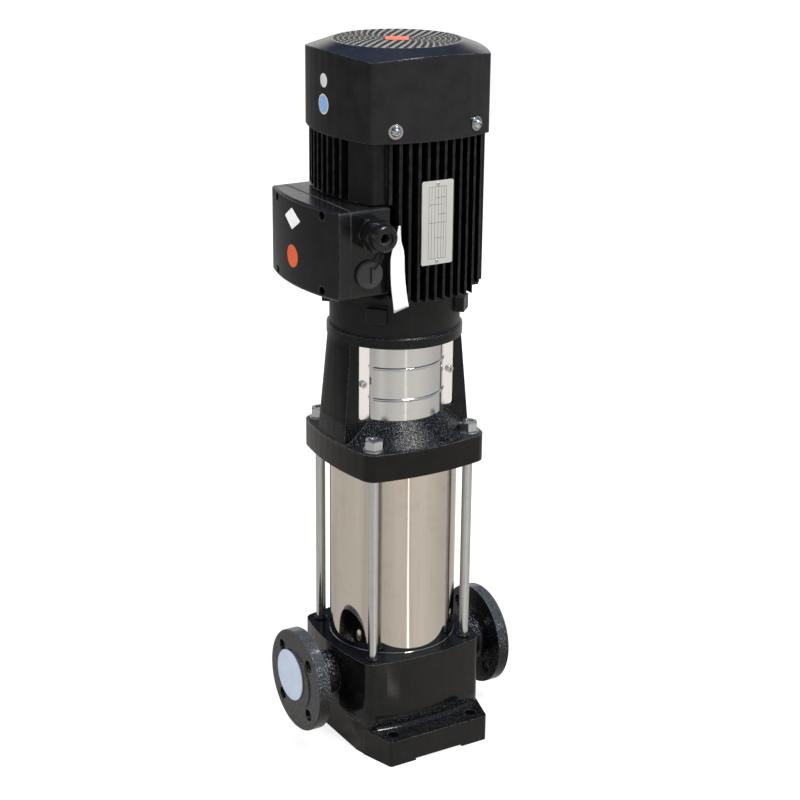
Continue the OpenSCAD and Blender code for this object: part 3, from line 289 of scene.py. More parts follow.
def shader_group(name, inputs, outputs):
    """An empty shader node group with named sockets; returns its graph and both rows of sockets"""
    tree = bpy.data.node_groups.new(name, "ShaderNodeTree")
    for label, default in inputs.items():
        kind = "NodeSocketVector" if isinstance(default, tuple) else "NodeSocketFloat"
        tree.interface.new_socket(name=label, in_out="INPUT", socket_type=kind).default_value = default
    for label, kind in outputs.items():
        tree.interface.new_socket(name=label, in_out="OUTPUT", socket_type=kind)
    graph = Graph(tree)
    return graph, graph.node("NodeGroupInput").outputs, graph.node("NodeGroupOutput").inputs


def rounded_edge_group():
    """Rounds the shading of sharp edges and finds the edges that get a lighter tone: wear, and in the paints
    also a painted highlight
    """
    graph, given, out = shader_group("Rounded edge", {"Radius": 0.0005, "Breakup": 140.0},
                                     {"Normal": "NodeSocketVector", "Wear and highlight": "NodeSocketFloat"})
    bevel = graph.node("ShaderNodeBevel", {"Radius": given["Radius"]}, samples=4).outputs[0]
    bent = graph.math("SUBTRACT", 1.0, graph.vector("DOT_PRODUCT", bevel, graph.normal()))
    patchy = graph.span(graph.noise(graph.place(), given["Breakup"], 4.0, 0.7), 0.4, 0.62)
    graph.join(bevel, out["Normal"])
    graph.join(graph.math("MULTIPLY", graph.span(bent, 0.03, 0.22), patchy, True), out["Wear and highlight"])
    return graph.tree


def cast_texture_group():
    """Grit and slow ripples of a painted casting, with a mask of painted glints: bright specks laid where
    the grit would catch light
    """
    graph, given, out = shader_group("Cast texture", {"Scale": 420.0, "Ripple": 60.0, "Octaves": 3.0},
                                     {"Height": "NodeSocketFloat", "Tone": "NodeSocketFloat",
                                      "Painted glint": "NodeSocketFloat"})
    place = graph.place()
    fine = graph.noise(place, given["Scale"], given["Octaves"], 0.55)
    slow = graph.noise(place, given["Ripple"], 2.0, 0.5)
    glints = graph.noise(place, 820.0, 1.0, 0.5)
    pits = graph.node("ShaderNodeTexVoronoi", {"Vector": place, "Scale": given["Scale"]},
                      feature="F1").outputs["Distance"]
    height = graph.math("ADD", graph.times(fine, 0.75), graph.times(slow, 0.6))
    graph.join(graph.math("SUBTRACT", height, graph.times(pits, 0.3)), out["Height"])
    graph.join(graph.span(slow, 0.3, 0.7), out["Tone"])
    graph.join(graph.span(glints, 0.57, 0.7), out["Painted glint"])
    return graph.tree


def brushed_grain_group():
    """Fine parallel lines, long where the Stretch is small and close where it is large"""
    graph, given, out = shader_group("Brushed grain", {"Stretch": (30.0, 30.0, 1800.0)},
                                     {"Height": "NodeSocketFloat", "Tone": "NodeSocketFloat"})
    lines = graph.noise(graph.vector("MULTIPLY", graph.place(), given["Stretch"]), 1.0, 2.0, 0.6)
    graph.join(lines, out["Height"])
    graph.join(graph.span(lines, 0.25, 0.75), out["Tone"])
    return graph.tree


def settled_dust_group():
    """A thin film of dust and handling marks, thicker on faces that look up"""
    graph, given, out = shader_group("Settled dust", {"Amount": 0.3}, {"Film": "NodeSocketFloat"})
    up = graph.span(graph.axis(graph.normal(), "Z"), 0.2, 1.0, 0.15, 1.0)
    cloud = graph.span(graph.noise(graph.place(), 26.0, 6.0, 0.65), 0.42, 0.75)
    graph.join(graph.math("MULTIPLY", graph.times(up, cloud), given["Amount"], True), out["Film"])
    return graph.tree


GROUP_MAKERS = {"edge": rounded_edge_group, "cast": cast_texture_group, "grain": brushed_grain_group,
                "dust": settled_dust_group}
GROUPS = {}


def placed_group(graph, key, inputs):
    """A shared group set into a material with its own values"""
    if key not in GROUPS:
        GROUPS[key] = GROUP_MAKERS[key]()
    made = graph.node("ShaderNodeGroup", node_tree=GROUPS[key])
    for label, value in inputs.items():
        made.inputs[label].default_value = value
    return made.outputs


def new_finish(name):
    """A material with its graph and its Principled shader"""
    material = bpy.data.materials.new(name)
    material.use_nodes = True
    return material, Graph(material.node_tree), material.node_tree.nodes["Principled BSDF"]


def fed(graph, shader, base, roughness, bump, **plain):
    """Feeds a shader its colour, roughness and bump, and sets its plain values"""
    depth, height, normal = bump
    raised = graph.node("ShaderNodeBump", {"Strength": 1.0, "Distance": depth, "Height": height,
                                           "Normal": normal}).outputs[0]
    for label, socket in (("Base Color", base), ("Roughness", roughness), ("Normal", raised)):
        graph.join(socket, shader.inputs[label])
    for label, value in plain.items():
        shader.inputs[label.replace("_", " ")].default_value = value


def with_painted_light(graph, base, skin):
    """Lays a tone of painted light over its own area"""
    if skin is None:
        return base
    area, tone = skin
    return graph.mix(area(graph), base, rgba(tone))


def paint_finish(name, tone, rough, coat, scale, depth, wear_and_highlight, painted_glint=0.0, dust=0.1, calm=None, skin=None,
                 octaves=3.0, breakup=140.0, specular=0.3, radius=1.0 * MM):
    """Black paint over a casting or sheet: grit, rubbed edges that also carry a painted highlight, painted
    glints and a film of dust.

    calm finds how much grit and how many painted glints show at a place; skin is an area and the tone of
    painted light laid on it"""
    material, graph, shader = new_finish(name)
    edge = placed_group(graph, "edge", {"Radius": radius, "Breakup": breakup})
    cast = placed_group(graph, "cast", {"Scale": scale, "Octaves": octaves})
    film = placed_group(graph, "dust", {"Amount": dust})["Film"]
    grit = 1.0 if calm is None else calm(graph)
    light = [min(1.0, c * 1.5 + 0.0008) for c in tone]
    base = with_painted_light(graph, graph.mix(cast["Tone"], rgba(tone), rgba(light)), skin)
    # Wear and painted highlight: edges take the lighter worn tone, which also stands for glints along edges
    base = graph.mix(graph.times(edge["Wear and highlight"], wear_and_highlight), base, rgba(bpy.context.scene.pump_paint.worn_and_highlit))
    # Painted glints: bright bluish specks laid into the colour, more on faces that look up and where the
    # grit shows
    up = graph.span(graph.axis(graph.normal(), "Z"), -0.1, 0.7, 0.12, 1.0)
    base = graph.mix(graph.times(cast["Painted glint"], painted_glint, up, grit), base, rgba(PAINTED_GLINT_TONE))
    base = graph.mix(film, base, rgba(PAINT_DUST))
    roughness = graph.span(cast["Tone"], 0.0, 1.0, rough * 0.85, rough * 1.15)
    roughness = graph.math("ADD", roughness, graph.times(film, 0.4), True)
    fed(graph, shader, base, roughness, (depth, graph.times(cast["Height"], grit), edge["Normal"]),
        Specular_IOR_Level=specular, Coat_Weight=coat, Coat_Roughness=0.05)
    return material


def steel_finish(name, tone, rough, stretch, depth, stain, radius=None, metallic=1.0, contrast=0.18,
                 skin=None):
    """Bare metal with drawn or turned lines, cloudy marks and softened edges"""
    material, graph, shader = new_finish(name)
    edge = placed_group(graph, "edge", {"Radius": radius or bpy.context.scene.pump_steel.edge_radius})
    grain = placed_group(graph, "grain", {"Stretch": stretch})
    film = placed_group(graph, "dust", {"Amount": stain})["Film"]
    dark, light = [c * (1.0 - contrast) for c in tone], [min(1.0, c * 1.25) for c in tone]
    base = with_painted_light(graph, graph.mix(grain["Tone"], rgba(dark), rgba(tone)), skin)
    base = graph.mix(edge["Wear and highlight"], base, rgba(light))
    cloud = graph.span(graph.noise(graph.place(), 38.0, 5.0, 0.6), 0.52, 0.72)
    base = graph.mix(graph.times(cloud, stain), base, rgba(METAL_STAIN))
    roughness = graph.span(grain["Tone"], 0.0, 1.0, rough * 0.75, rough * 1.3)
    roughness = graph.math("ADD", roughness, graph.times(film, 0.25), True)
    fed(graph, shader, base, roughness, (depth, grain["Height"], edge["Normal"]), Metallic=metallic)
    return material


def moulded_finish(name, tone, rough, scale=700.0, depth=0.03 * MM, sheen=0.0, dust=0.2, specular=0.5):
    """Moulded plastic, rubber or card: a fine skin, softened edges and a little dust"""
    material, graph, shader = new_finish(name)
    edge = placed_group(graph, "edge", {"Radius": 0.6 * MM})
    cast = placed_group(graph, "cast", {"Scale": scale})
    film = placed_group(graph, "dust", {"Amount": dust})["Film"]
    dark, light = [c * 0.88 for c in tone], [min(1.0, c + 0.12) for c in tone]
    base = graph.mix(cast["Tone"], rgba(dark), rgba(tone))
    base = graph.mix(graph.times(edge["Wear and highlight"], 0.18), base, rgba(light))
    base = graph.mix(film, base, rgba(PLASTIC_DUST))
    roughness = graph.span(cast["Height"], 0.2, 0.9, rough * 0.85, rough * 1.15)
    fed(graph, shader, base, roughness, (depth, cast["Height"], edge["Normal"]), Sheen_Weight=sheen,
        Specular_IOR_Level=specular)
    return material


# Areas of the finishes, and of painted glints, highlights and reflections

def base_grit_and_glints(graph):
    """The ports and the coves over the feet are rough as cast; the rest of the foot is smooth. The same mask
    sets where painted glints show.
    """
    height = graph.along("Z")
    ports = graph.times(graph.span(graph.aside("X"), *PORT_GRIT, 0.1, 1.0),
                        graph.span(height, *PORT_CROWN, 1.0, 0.3))
    cove = graph.times(graph.span(height, *COVE_FOOT, 0.0, 0.9), graph.span(height, *COVE_TOP, 1.0, 0.0))
    return graph.math("MAXIMUM", ports, cove)


def painted_rim_highlight(graph):
    """Painted highlight: a lighter bluish band on the upper rims of the two port flanges, patchy and more on
    faces that look up
    """
    height = graph.math("SUBTRACT", graph.along("Z"), PORT_AXIS)
    across = graph.node("ShaderNodeCombineXYZ", {0: graph.along("Y"), 1: height}).outputs[0]
    rim = graph.times(graph.span(graph.vector("LENGTH", across), *RIM_RADIUS),
                      graph.span(graph.aside("X"), *RIM_REACH))
    up = graph.span(graph.axis(graph.normal(), "Z"), -0.1, 0.8)
    cloud = graph.span(graph.noise(graph.place(), 700.0, 2.0, 0.6), 0.35, 0.65, 0.3, 1.0)
    return graph.times(rim, up, cloud)


def stool_grit_and_glints(graph):
    """The stool's dome is rough as cast and its ring a little less; its flange and columns are smooth. The
    same mask sets where painted glints show.
    """
    height = graph.along("Z")
    above = graph.math("SUBTRACT", graph.span(height, *STOOL_DOME_TOP, 1.0, 0.22),
                       graph.span(height, *STOOL_RING_FOOT, 0.0, -0.5))
    return graph.times(graph.span(height, *STOOL_FLANGE_TOP, 0.1, 1.0), above)


def painted_grille_reflection(graph):
    """Painted reflection: the perforated top of the cover, which gets a lighter grey tone than the rest of
    the cover
    """
    out = graph.vector("LENGTH", graph.vector("MULTIPLY", graph.place(), (1.0, 1.0, 0.0)))
    return graph.times(graph.span(out, *GRILLE_EDGE, 1.0, 0.0), graph.span(graph.along("Z"), *GRILLE_HEIGHT))


def painted_guard_flange_reflection(graph):
    """Painted reflection: where the guards' flat flanges lie, which get a near-white tone"""
    facing = graph.math("ABSOLUTE", graph.axis(graph.normal(), "Y"))
    return graph.times(graph.span(facing, 0.9, 0.97), graph.span(graph.aside("X"), *GUARD_BEND))


def finishes():
    """Every finish by its name: the record's slots, and the own ones of the base and the grille's rims"""
    paint, steel = bpy.context.scene.pump_paint, bpy.context.scene.pump_steel
    drawn, turned = (900.0, 900.0, 25.0), (60.0, 60.0, 2600.0)
    cast = dict(tone=paint.casting, scale=620.0, depth=paint.grit, dust=0.01, octaves=1.0, breakup=520.0)
    paints = {
        "black_casting": dict(cast, rough=0.16, coat=0.04, wear_and_highlight=0.6, painted_glint=0.18, calm=stool_grit_and_glints,
                              specular=0.16),
        "base_casting": dict(cast, rough=0.13, coat=0.05, wear_and_highlight=0.5, painted_glint=0.8, calm=base_grit_and_glints,
                             skin=(painted_rim_highlight, RIM_HIGHLIGHT_TONE), specular=0.22),
        "motor_paint": dict(tone=paint.motor, rough=0.34, coat=0.03, scale=520.0, depth=0.08 * MM,
                            wear_and_highlight=paint.wear_and_highlight, painted_glint=0.03, dust=0.02, specular=0.2),
        "box_paint": dict(tone=paint.box, rough=0.24, coat=0.1, scale=800.0, depth=0.04 * MM,
                          wear_and_highlight=paint.wear_and_highlight * 0.6, painted_glint=0.05, dust=0.03, radius=2.4 * MM),
        "cover_paint": dict(tone=paint.cover, rough=0.2, coat=0.05, scale=900.0, depth=0.02 * MM,
                            wear_and_highlight=paint.wear_and_highlight, painted_glint=0.02, dust=0.0, skin=(painted_grille_reflection, paint.grille),
                            radius=1.6 * MM),
        "grille_rims": dict(tone=paint.rims, rough=0.35, coat=0.0, scale=900.0, depth=0.02 * MM, wear_and_highlight=0.0),
    }
    steels = {
        "polished_steel": dict(tone=steel.sleeve, rough=0.06, stretch=(700.0, 700.0, 9.0), depth=0.002 * MM,
                               stain=0.16, radius=0.5 * MM, contrast=0.07),
        "guard_steel": dict(tone=steel.guard, rough=0.15, stretch=(8.0, 8.0, 2200.0), depth=0.004 * MM,
                            stain=0.05, contrast=0.06, skin=(painted_guard_flange_reflection, GUARD_FLANGE_REFLECTION)),
        "stage_steel": dict(tone=steel.stage, rough=0.28, stretch=turned, depth=0.012 * MM, stain=0.1),
        "impeller_steel": dict(tone=steel.stage, rough=0.25, stretch=turned, depth=0.012 * MM, stain=0.08),
        "zinc_steel": dict(tone=steel.zinc, rough=0.2, stretch=drawn, depth=0.01 * MM, stain=0.12),
        "dark_steel": dict(tone=(0.05, 0.05, 0.054), rough=0.35, stretch=turned, depth=0.01 * MM, stain=0.1),
        "shaft_steel": dict(tone=(0.58, 0.58, 0.59), rough=0.16, stretch=turned, depth=0.008 * MM,
                            stain=0.05),
        "coupling_iron": dict(tone=(0.3, 0.3, 0.31), rough=0.38, stretch=(500.0, 500.0, 900.0),
                              depth=0.03 * MM, stain=0.2),
        "core_steel": dict(tone=(0.34, 0.34, 0.36), rough=0.4, stretch=(15.0, 15.0, 2400.0),
                           depth=0.06 * MM, stain=0.15),
        "bearing_steel": dict(tone=(0.6, 0.6, 0.62), rough=0.12, stretch=turned, depth=0.006 * MM,
                              stain=0.02),
        "copper": dict(tone=(0.62, 0.26, 0.1), rough=0.3, stretch=(700.0, 700.0, 700.0), depth=0.15 * MM,
                       stain=0.1),
        "plate_aluminium": dict(tone=(0.5, 0.496, 0.47), rough=0.5, stretch=(1800.0, 20.0, 20.0),
                                depth=0.004 * MM, stain=0.03, metallic=0.2, contrast=0.08),
    }
    plastics = {
        "seal_ceramic": dict(tone=(0.75, 0.72, 0.66), rough=0.15),
        "seal_carbon": dict(tone=(0.06, 0.06, 0.065), rough=0.45),
        "rubber": dict(tone=(0.014, 0.014, 0.015), rough=0.6, scale=600.0, depth=0.06 * MM, sheen=0.2),
        "black_plastic": dict(tone=(0.003, 0.003, 0.0036), rough=0.24, scale=800.0, depth=0.01 * MM,
                              dust=0.03, specular=0.4),
        "grey_plastic": dict(tone=(0.03, 0.03, 0.031), rough=0.45, depth=0.05 * MM),
        "brown_plastic": dict(tone=(0.14, 0.07, 0.04), rough=0.3),
        "white_tag": dict(tone=(0.93, 0.93, 0.93), rough=0.5, scale=300.0, dust=0.0),
        "film_disc": dict(tone=(0.54, 0.63, 0.76), rough=0.35, scale=120.0, depth=0.06 * MM, dust=0.0),
    }
    made = {}
    for maker, looks in ((paint_finish, paints), (steel_finish, steels), (moulded_finish, plastics)):
        made.update({name: maker(name, **look) for name, look in looks.items()})
    return made


FINISH = {}
OWN_FINISH = {"pump_base": "base_casting"}


class PUMP_OT_finishes(bpy.types.Operator):
    """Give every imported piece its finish"""

    bl_idname = "pump.finishes"
    bl_label = "Finishes"

    def execute(self, context):
        FINISH.update(finishes())
        for sub in frame["record"]["subparts"]:
            node = frame["nodes"][sub["node"]]
            node.data.materials.clear()
            node.data.materials.append(FINISH[OWN_FINISH.get(sub["node"], sub["material_slot"])])
        return {"FINISHED"}


# Geometry Nodes: small shapes set on points, and sections swept along paths

def nodes_tree(name, sizes):
    """A Geometry Nodes tree with a geometry input, named sizes and a material"""
    tree = bpy.data.node_groups.new(name, "GeometryNodeTree")
    face = tree.interface
    face.new_socket(name="Geometry", in_out="INPUT", socket_type="NodeSocketGeometry")
    for label, default in sizes.items():
        kind = "NodeSocketInt" if isinstance(default, int) else "NodeSocketFloat"
        face.new_socket(name=label, in_out="INPUT", socket_type=kind).default_value = default
    face.new_socket(name="Material", in_out="INPUT", socket_type="NodeSocketMaterial")
    face.new_socket(name="Geometry", in_out="OUTPUT", socket_type="NodeSocketGeometry")
    graph = Graph(tree)
    return graph, graph.node("NodeGroupInput").outputs


def close_tree(graph, given, geometry):
    """Ends a tree: real geometry with its material"""
    real = graph.node("GeometryNodeRealizeInstances", {"Geometry": geometry}).outputs[0]
    done = graph.node("GeometryNodeSetMaterial", {"Geometry": real, "Material": given["Material"]})
    graph.join(done.outputs[0], graph.node("NodeGroupOutput").inputs[0])
    return graph.tree


def set_on_points(graph, given, shape):
    """Sets a shape on every point, turned and sized by the point's own attributes"""
    turn, size = (graph.node("GeometryNodeInputNamedAttribute", {"Name": label},
                             data_type="FLOAT_VECTOR").outputs[0] for label in ("turn", "size"))
    euler = graph.node("FunctionNodeEulerToRotation", {0: turn}).outputs[0]
    return graph.node("GeometryNodeInstanceOnPoints", {"Points": given["Geometry"], "Instance": shape,
                                                       "Rotation": euler, "Scale": size}).outputs[0]


def circle(graph, radius, sides):
    """A round curve"""
    return graph.node("GeometryNodeCurvePrimitiveCircle", {"Resolution": sides, "Radius": radius}).outputs[0]


def swept(graph, path, section, caps=True):
    """A section swept along a path"""
    return graph.node("GeometryNodeCurveToMesh", {"Curve": path, "Profile Curve": section,
                                                  "Fill Caps": caps}).outputs[0]


def ring_tree():
    """A rolled ring on every point"""
    graph, given = nodes_tree("Rings on points", {"Radius": 0.002, "Section": 0.0003, "Sides": 10,
                                                  "Section sides": 4})
    rolled = swept(graph, circle(graph, given["Radius"], given["Sides"]),
                   circle(graph, given["Section"], given["Section sides"]), caps=False)
    return close_tree(graph, given, set_on_points(graph, given, rolled))


def dome_tree():
    """A low dome, such as a rivet head, on every point"""
    graph, given = nodes_tree("Domes on points", {"Radius": 0.002, "Height": 0.001})
    ball = graph.node("GeometryNodeMeshUVSphere", {"Segments": 20, "Rings": 12,
                                                   "Radius": given["Radius"]}).outputs[0]
    flat = graph.math("DIVIDE", given["Height"], given["Radius"])
    scale = graph.node("ShaderNodeCombineXYZ", {0: 1.0, 1: 1.0, 2: flat}).outputs[0]
    low = graph.node("GeometryNodeTransform", {"Geometry": ball, "Scale": scale}).outputs[0]
    return close_tree(graph, given, set_on_points(graph, given, low))


def bar_tree():
    """A thin bar on every point, as long and wide as the point's size says"""
    graph, given = nodes_tree("Bars on points", {"Thickness": 0.0001})
    size = graph.node("ShaderNodeCombineXYZ", {0: 1.0, 1: 1.0, 2: given["Thickness"]}).outputs[0]
    bar = graph.node("GeometryNodeMeshCube", {"Size": size}).outputs[0]
    return close_tree(graph, given, set_on_points(graph, given, bar))


def bead_tree():
    """A thin strap along a path, with beads strung on it"""
    graph, given = nodes_tree("Beads along a path", {"Strap": 0.0007, "Bead": 0.0014, "Beads": 9})
    places = graph.node("GeometryNodeResampleCurve", {"Curve": given["Geometry"], "Count": given["Beads"]})
    bead = graph.node("GeometryNodeMeshIcoSphere", {"Radius": given["Bead"], "Subdivisions": 3}).outputs[0]
    strung = graph.node("GeometryNodeInstanceOnPoints", {"Points": places.outputs[0],
                                                         "Instance": bead}).outputs[0]
    joined = graph.node("GeometryNodeJoinGeometry")
    for part in (swept(graph, given["Geometry"], circle(graph, given["Strap"], 8)), strung):
        graph.join(part, joined.inputs[0])
    return close_tree(graph, given, joined.outputs[0])


def cord_tree():
    """A round section swept along a path"""
    graph, given = nodes_tree("Section along a path", {"Section": 0.0005, "Sides": 8})
    section = circle(graph, given["Section"], given["Sides"])
    return close_tree(graph, given, swept(graph, given["Geometry"], section))


def points_host(rows):
    """A cloud of points, each with a place, a turn and a size"""
    mesh = bpy.data.meshes.new("points")
    mesh.from_pydata([place for place, turn, size in rows], [], [])
    for label, index in (("turn", 1), ("size", 2)):
        attribute = mesh.attributes.new(label, "FLOAT_VECTOR", "POINT")
        attribute.data.foreach_set("vector", [c for row in rows for c in row[index]])
    return link(bpy.data.objects.new("points", mesh))


def path_host(points, closed=False):
    """A poly line as a curve"""
    curve = bpy.data.curves.new("path", "CURVE")
    curve.dimensions = "3D"
    spline = curve.splines.new("POLY")
    spline.points.add(len(points) - 1)
    for at, place in zip(spline.points, points):
        at.co = (place[0], place[1], place[2], 1.0)
    spline.use_cyclic_u = closed
    return link(bpy.data.objects.new("path", curve))


def grown(name, host, tree, sizes, slot_name, finish=None, smooth=True):
    """Runs a tree on its host, keeps the result as a plain mesh and seats it on the pump"""
    material = FINISH[finish or slot_name]
    given = dict(sizes, Material=material)
    modifier = host.modifiers.new("grow", "NODES")
    modifier.node_group = tree
    for item in tree.interface.items_tree:
        if item.in_out == "INPUT" and item.name in given:
            modifier[item.identifier] = given[item.name]
    evaluated = host.evaluated_get(bpy.context.evaluated_depsgraph_get())
    mesh = bpy.data.meshes.new_from_object(evaluated)
    bpy.data.objects.remove(host)
    mesh.name = name
    for face in mesh.polygons:
        face.use_smooth = smooth
    seat(link(bpy.data.objects.new(name, mesh)), "pump", material)


class PUMP_OT_grille_rims(bpy.types.Operator):
    """Roll a rim round every hole of the fan cover's grille"""

    bl_idname = "pump.grille_rims"
    bl_label = "Grille rims"

    def execute(self, context):
        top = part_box("fan_cover")[1].z
        rows = []
        for k, radius in enumerate(HOLE_RINGS):
            count = round(2 * math.pi * radius / HOLE_PITCH)
            for j in range(1, count + 1):
                turn = (j + (k % 2) / 2) * 2 * math.pi / count
                rows.append(((radius * math.cos(turn), radius * math.sin(turn), top), STILL, UNIT))
        grown("grille_rims", points_host(rows), ring_tree(),
              {"Radius": HOLE_RADIUS, "Section": context.scene.pump_trim.rim_radius, "Sides": 10,
               "Section sides": 4}, "cover_paint", "grille_rims")
        return {"FINISHED"}


class PUMP_OT_rod_trim(bpy.types.Operator):
    """Set a dark collar at each rod's foot"""

    bl_idname = "pump.rod_trim"
    bl_label = "Rod collars"

    def execute(self, context):
        section = context.scene.pump_trim.collar_radius
        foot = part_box("outer_sleeve")[0].z
        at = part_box("tie_rods")[1].x - ROD_RADIUS
        rows = [((x * at, y * at, foot + section), STILL, UNIT) for x in (-1, 1) for y in (-1, 1)]
        grown("rod_collars", points_host(rows), ring_tree(),
              {"Radius": ROD_RADIUS + section * 0.8, "Section": section, "Sides": 40, "Section sides": 10},
              "black_plastic")
        return {"FINISHED"}


# The nameplate's rules, in shares of its width and height from its middle
RULES_UP = (-0.28, -0.19, -0.09, 0.02, 0.12, 0.2, 0.28)
RULES_ACROSS = ((-0.43, -0.28, 0.28), (-0.18, -0.09, 0.2), (0.0, -0.28, 0.28), (0.1, 0.02, 0.28),
                (0.22, -0.28, 0.12), (0.3, -0.09, 0.28), (0.43, -0.28, 0.28))


class PUMP_OT_nameplate(bpy.types.Operator):
    """Rule the blank nameplate and rivet it on"""

    bl_idname = "pump.nameplate"
    bl_label = "Nameplate rules and rivets"

    def execute(self, context):
        low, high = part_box("nameplate")
        mid, wide, tall = (low + high) / 2, high.x - low.x, high.z - low.z
        upright = (math.pi / 2, 0.0, 0.0)
        thin = context.scene.pump_trim.line_width
        rows = [((mid.x + x * wide, low.y, mid.z), upright, (thin, 0.86 * tall, 1.0)) for x in RULES_UP]
        rows += [((mid.x + (left + right) / 2 * wide, low.y, mid.z + z * tall), upright,
                  ((right - left) * wide, thin, 1.0)) for z, left, right in RULES_ACROSS]
        grown("nameplate_rules", points_host(rows), bar_tree(), {"Thickness": 0.12 * MM}, "dark_steel",
              smooth=False)
        reach = tall / 2 - 3.5 * MM
        heads = [((mid.x, low.y, mid.z + side * reach), upright, UNIT) for side in (-1, 1)]
        grown("nameplate_rivets", points_host(heads), dome_tree(), {"Radius": 1.9 * MM, "Height": 0.9 * MM},
              "zinc_steel")
        return {"FINISHED"}


def outward(obj):
    """Merges doubles and turns all faces out"""
    work = bmesh.new()
    work.from_mesh(obj.data)
    bmesh.ops.remove_doubles(work, verts=work.verts, dist=1e-7)
    bmesh.ops.recalc_face_normals(work, faces=work.faces)
    work.to_mesh(obj.data)
    work.free()


def bowed_patch(name, outline, reach, radius, lift, thick):
    """A flat outline in Y and Z laid on a side that bows outwards along -X, as a closed thin sheet"""
    rings, count = 5, len(outline)
    mid_y, mid_z = (sum(place[k] for place in outline) / count for k in (0, 1))
    flat = [(mid_y + (y - mid_y) * k / rings, mid_z + (z - mid_z) * k / rings)
            for k in range(rings, 0, -1) for y, z in outline] + [(mid_y, mid_z)]
    points, faces = [], []
    for out in (lift + thick, lift):
        base, inner = len(points), len(points) + (rings - 1) * count
        points += [(radius - reach - math.sqrt(radius * radius - y * y) - out, y, z) for y, z in flat]
        for k in range(rings - 1):
            for i in range(count):
                a, b = base + k * count + i, base + k * count + (i + 1) % count
                faces.append((a, b, b + count, a + count))
        faces += [(inner + i, inner + (i + 1) % count, inner + count) for i in range(count)]
    layer = len(flat)
    faces += [(i, layer + i, layer + (i + 1) % count, (i + 1) % count) for i in range(count)]
    made = mesh_object(name, points, faces)
    outward(made)
    return made


def round_outline(y, z, radius, count=40):
    """A circle as (y, z) pairs; its middle and radius are in millimetres"""
    turns = [2 * math.pi * i / count for i in range(count)]
    return [((y + radius * math.cos(turn)) * MM, (z + radius * math.sin(turn)) * MM) for turn in turns]


def rounded_outline(corners, radius, steps=5):
    """A polygon with rounded corners as pairs"""
    made = []
    for i, corner in enumerate(corners):
        at = Vector(corner)
        before, after = Vector(corners[i - 1]) - at, Vector(corners[(i + 1) % len(corners)]) - at
        a, b = at + before.normalized() * radius, at + after.normalized() * radius
        for k in range(steps + 1):
            t = k / steps
            made.append(tuple(a * (1 - t) ** 2 + at * 2 * t * (1 - t) + b * t * t))
    return made


SQUARE = ((-1, -1), (1, -1), (1, 1), (-1, 1))


class PUMP_OT_stickers(bpy.types.Operator):
    """Lay the plain stickers on the fan cover, the lid and the grille"""

    bl_idname = "pump.stickers"
    bl_label = "Plain stickers"

    def execute(self, context):
        trim = context.scene.pump_trim
        orange = moulded_finish("orange_sticker", trim.sticker, 0.4, 300.0, 0.02 * MM, dust=0.1)
        blue = moulded_finish("blue_sticker", trim.blue, 0.3, 300.0, 0.01 * MM, dust=0.05)
        pale = moulded_finish("pale_sticker", (0.62, 0.63, 0.62), 0.35, 300.0, 0.01 * MM, dust=0.05)
        cover, lid = -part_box("fan_cover")[0].x, -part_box("box_lid")[0].x
        lift, thick = 0.05 * MM, 0.15 * MM
        diamond = [(y * MM, z * MM) for y, z in ((-12, 599.5), (5.5, 588), (23, 599.5), (5.5, 611))]
        rows = [
            ("cover_sticker_pale", pale, round_outline(1.3, 738.5, 7.2), cover, COVER_BOW),
            ("cover_sticker_rim", pale, round_outline(2.1, 714.4, 10.4), cover, COVER_BOW),
            ("cover_sticker_blue", blue, round_outline(2.1, 714.4, 8.8), cover + thick, COVER_BOW),
            ("lid_diamond", FINISH["white_tag"], rounded_outline(diamond, 1.5 * MM), lid, LID_BOW),
            ("lid_dot", orange, round_outline(5.5, 560, 12), lid, LID_BOW),
        ]
        for name, material, outline, reach, radius in rows:
            seat(bowed_patch(name, outline, reach, radius, lift, thick), "pump", material)
        top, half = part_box("fan_cover")[1].z + lift, 12 * MM
        turn = Matrix.Rotation(context.scene.pump_stage.azimuth, 2)
        patch = rounded_outline([turn @ Vector((x * half, y * half)) for x, y in SQUARE], 2 * MM)
        count = len(patch)
        points = [(x, y, top + t) for t in (0.0, 0.3 * MM) for x, y in patch]
        faces = [tuple(range(count - 1, -1, -1)), tuple(range(count, 2 * count))]
        faces += [(i, (i + 1) % count, count + (i + 1) % count, count + i) for i in range(count)]
        seat(mesh_object("grille_patch", points, faces), "pump", orange)
        return {"FINISHED"}


class PUMP_OT_box_trim(bpy.types.Operator):
    """Lay the lid gasket and string the plug's beaded keeper"""

    bl_idname = "pump.box_trim"
    bl_label = "Gasket and plug keeper"

    def execute(self, context):
        low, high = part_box("terminal_box")
        mid_z, half_y, half_z = (low.z + high.z) / 2, (high.y - low.y) / 2, (high.z - low.z) / 2
        outline = rounded_outline([(y * half_y, z * half_z) for y, z in SQUARE], 7 * MM, 8)
        seam = path_host([(low.x, y, mid_z + z) for y, z in outline], True)
        grown("box_gasket", seam, cord_tree(), {"Section": 0.42 * MM, "Sides": 8}, "rubber")
        plug_low, plug_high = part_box("blanking_plug")
        gland_low, gland_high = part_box("gland_body")
        start = Vector(((plug_low.x + plug_high.x) / 2 + 4 * MM, low.y - 5.6 * MM, plug_high.z - 8 * MM))
        end = Vector((gland_high.x - 2.5 * MM, low.y - 2.2 * MM, gland_low.z + 1 * MM))
        sag, steps = Vector((3.2, -2.2, -1.5)) * MM, 24
        path = [start.lerp(end, i / steps) + sag * math.sin(math.pi * i / steps) for i in range(steps + 1)]
        grown("plug_keeper", path_host(path), bead_tree(),
              {"Strap": 0.55 * MM, "Bead": 1.15 * MM, "Beads": context.scene.pump_trim.bead_count},
              "black_plastic")
        return {"FINISHED"}


# Half width of the tag in millimetres by the share of its length, from its upper end
TAG_HALVES = [(0.0, 1.0), (0.12, 2.6), (0.19, 3.6), (0.28, 6.6), (0.36, 7.9), (0.6, 8.3), (1.0, 9.0)]


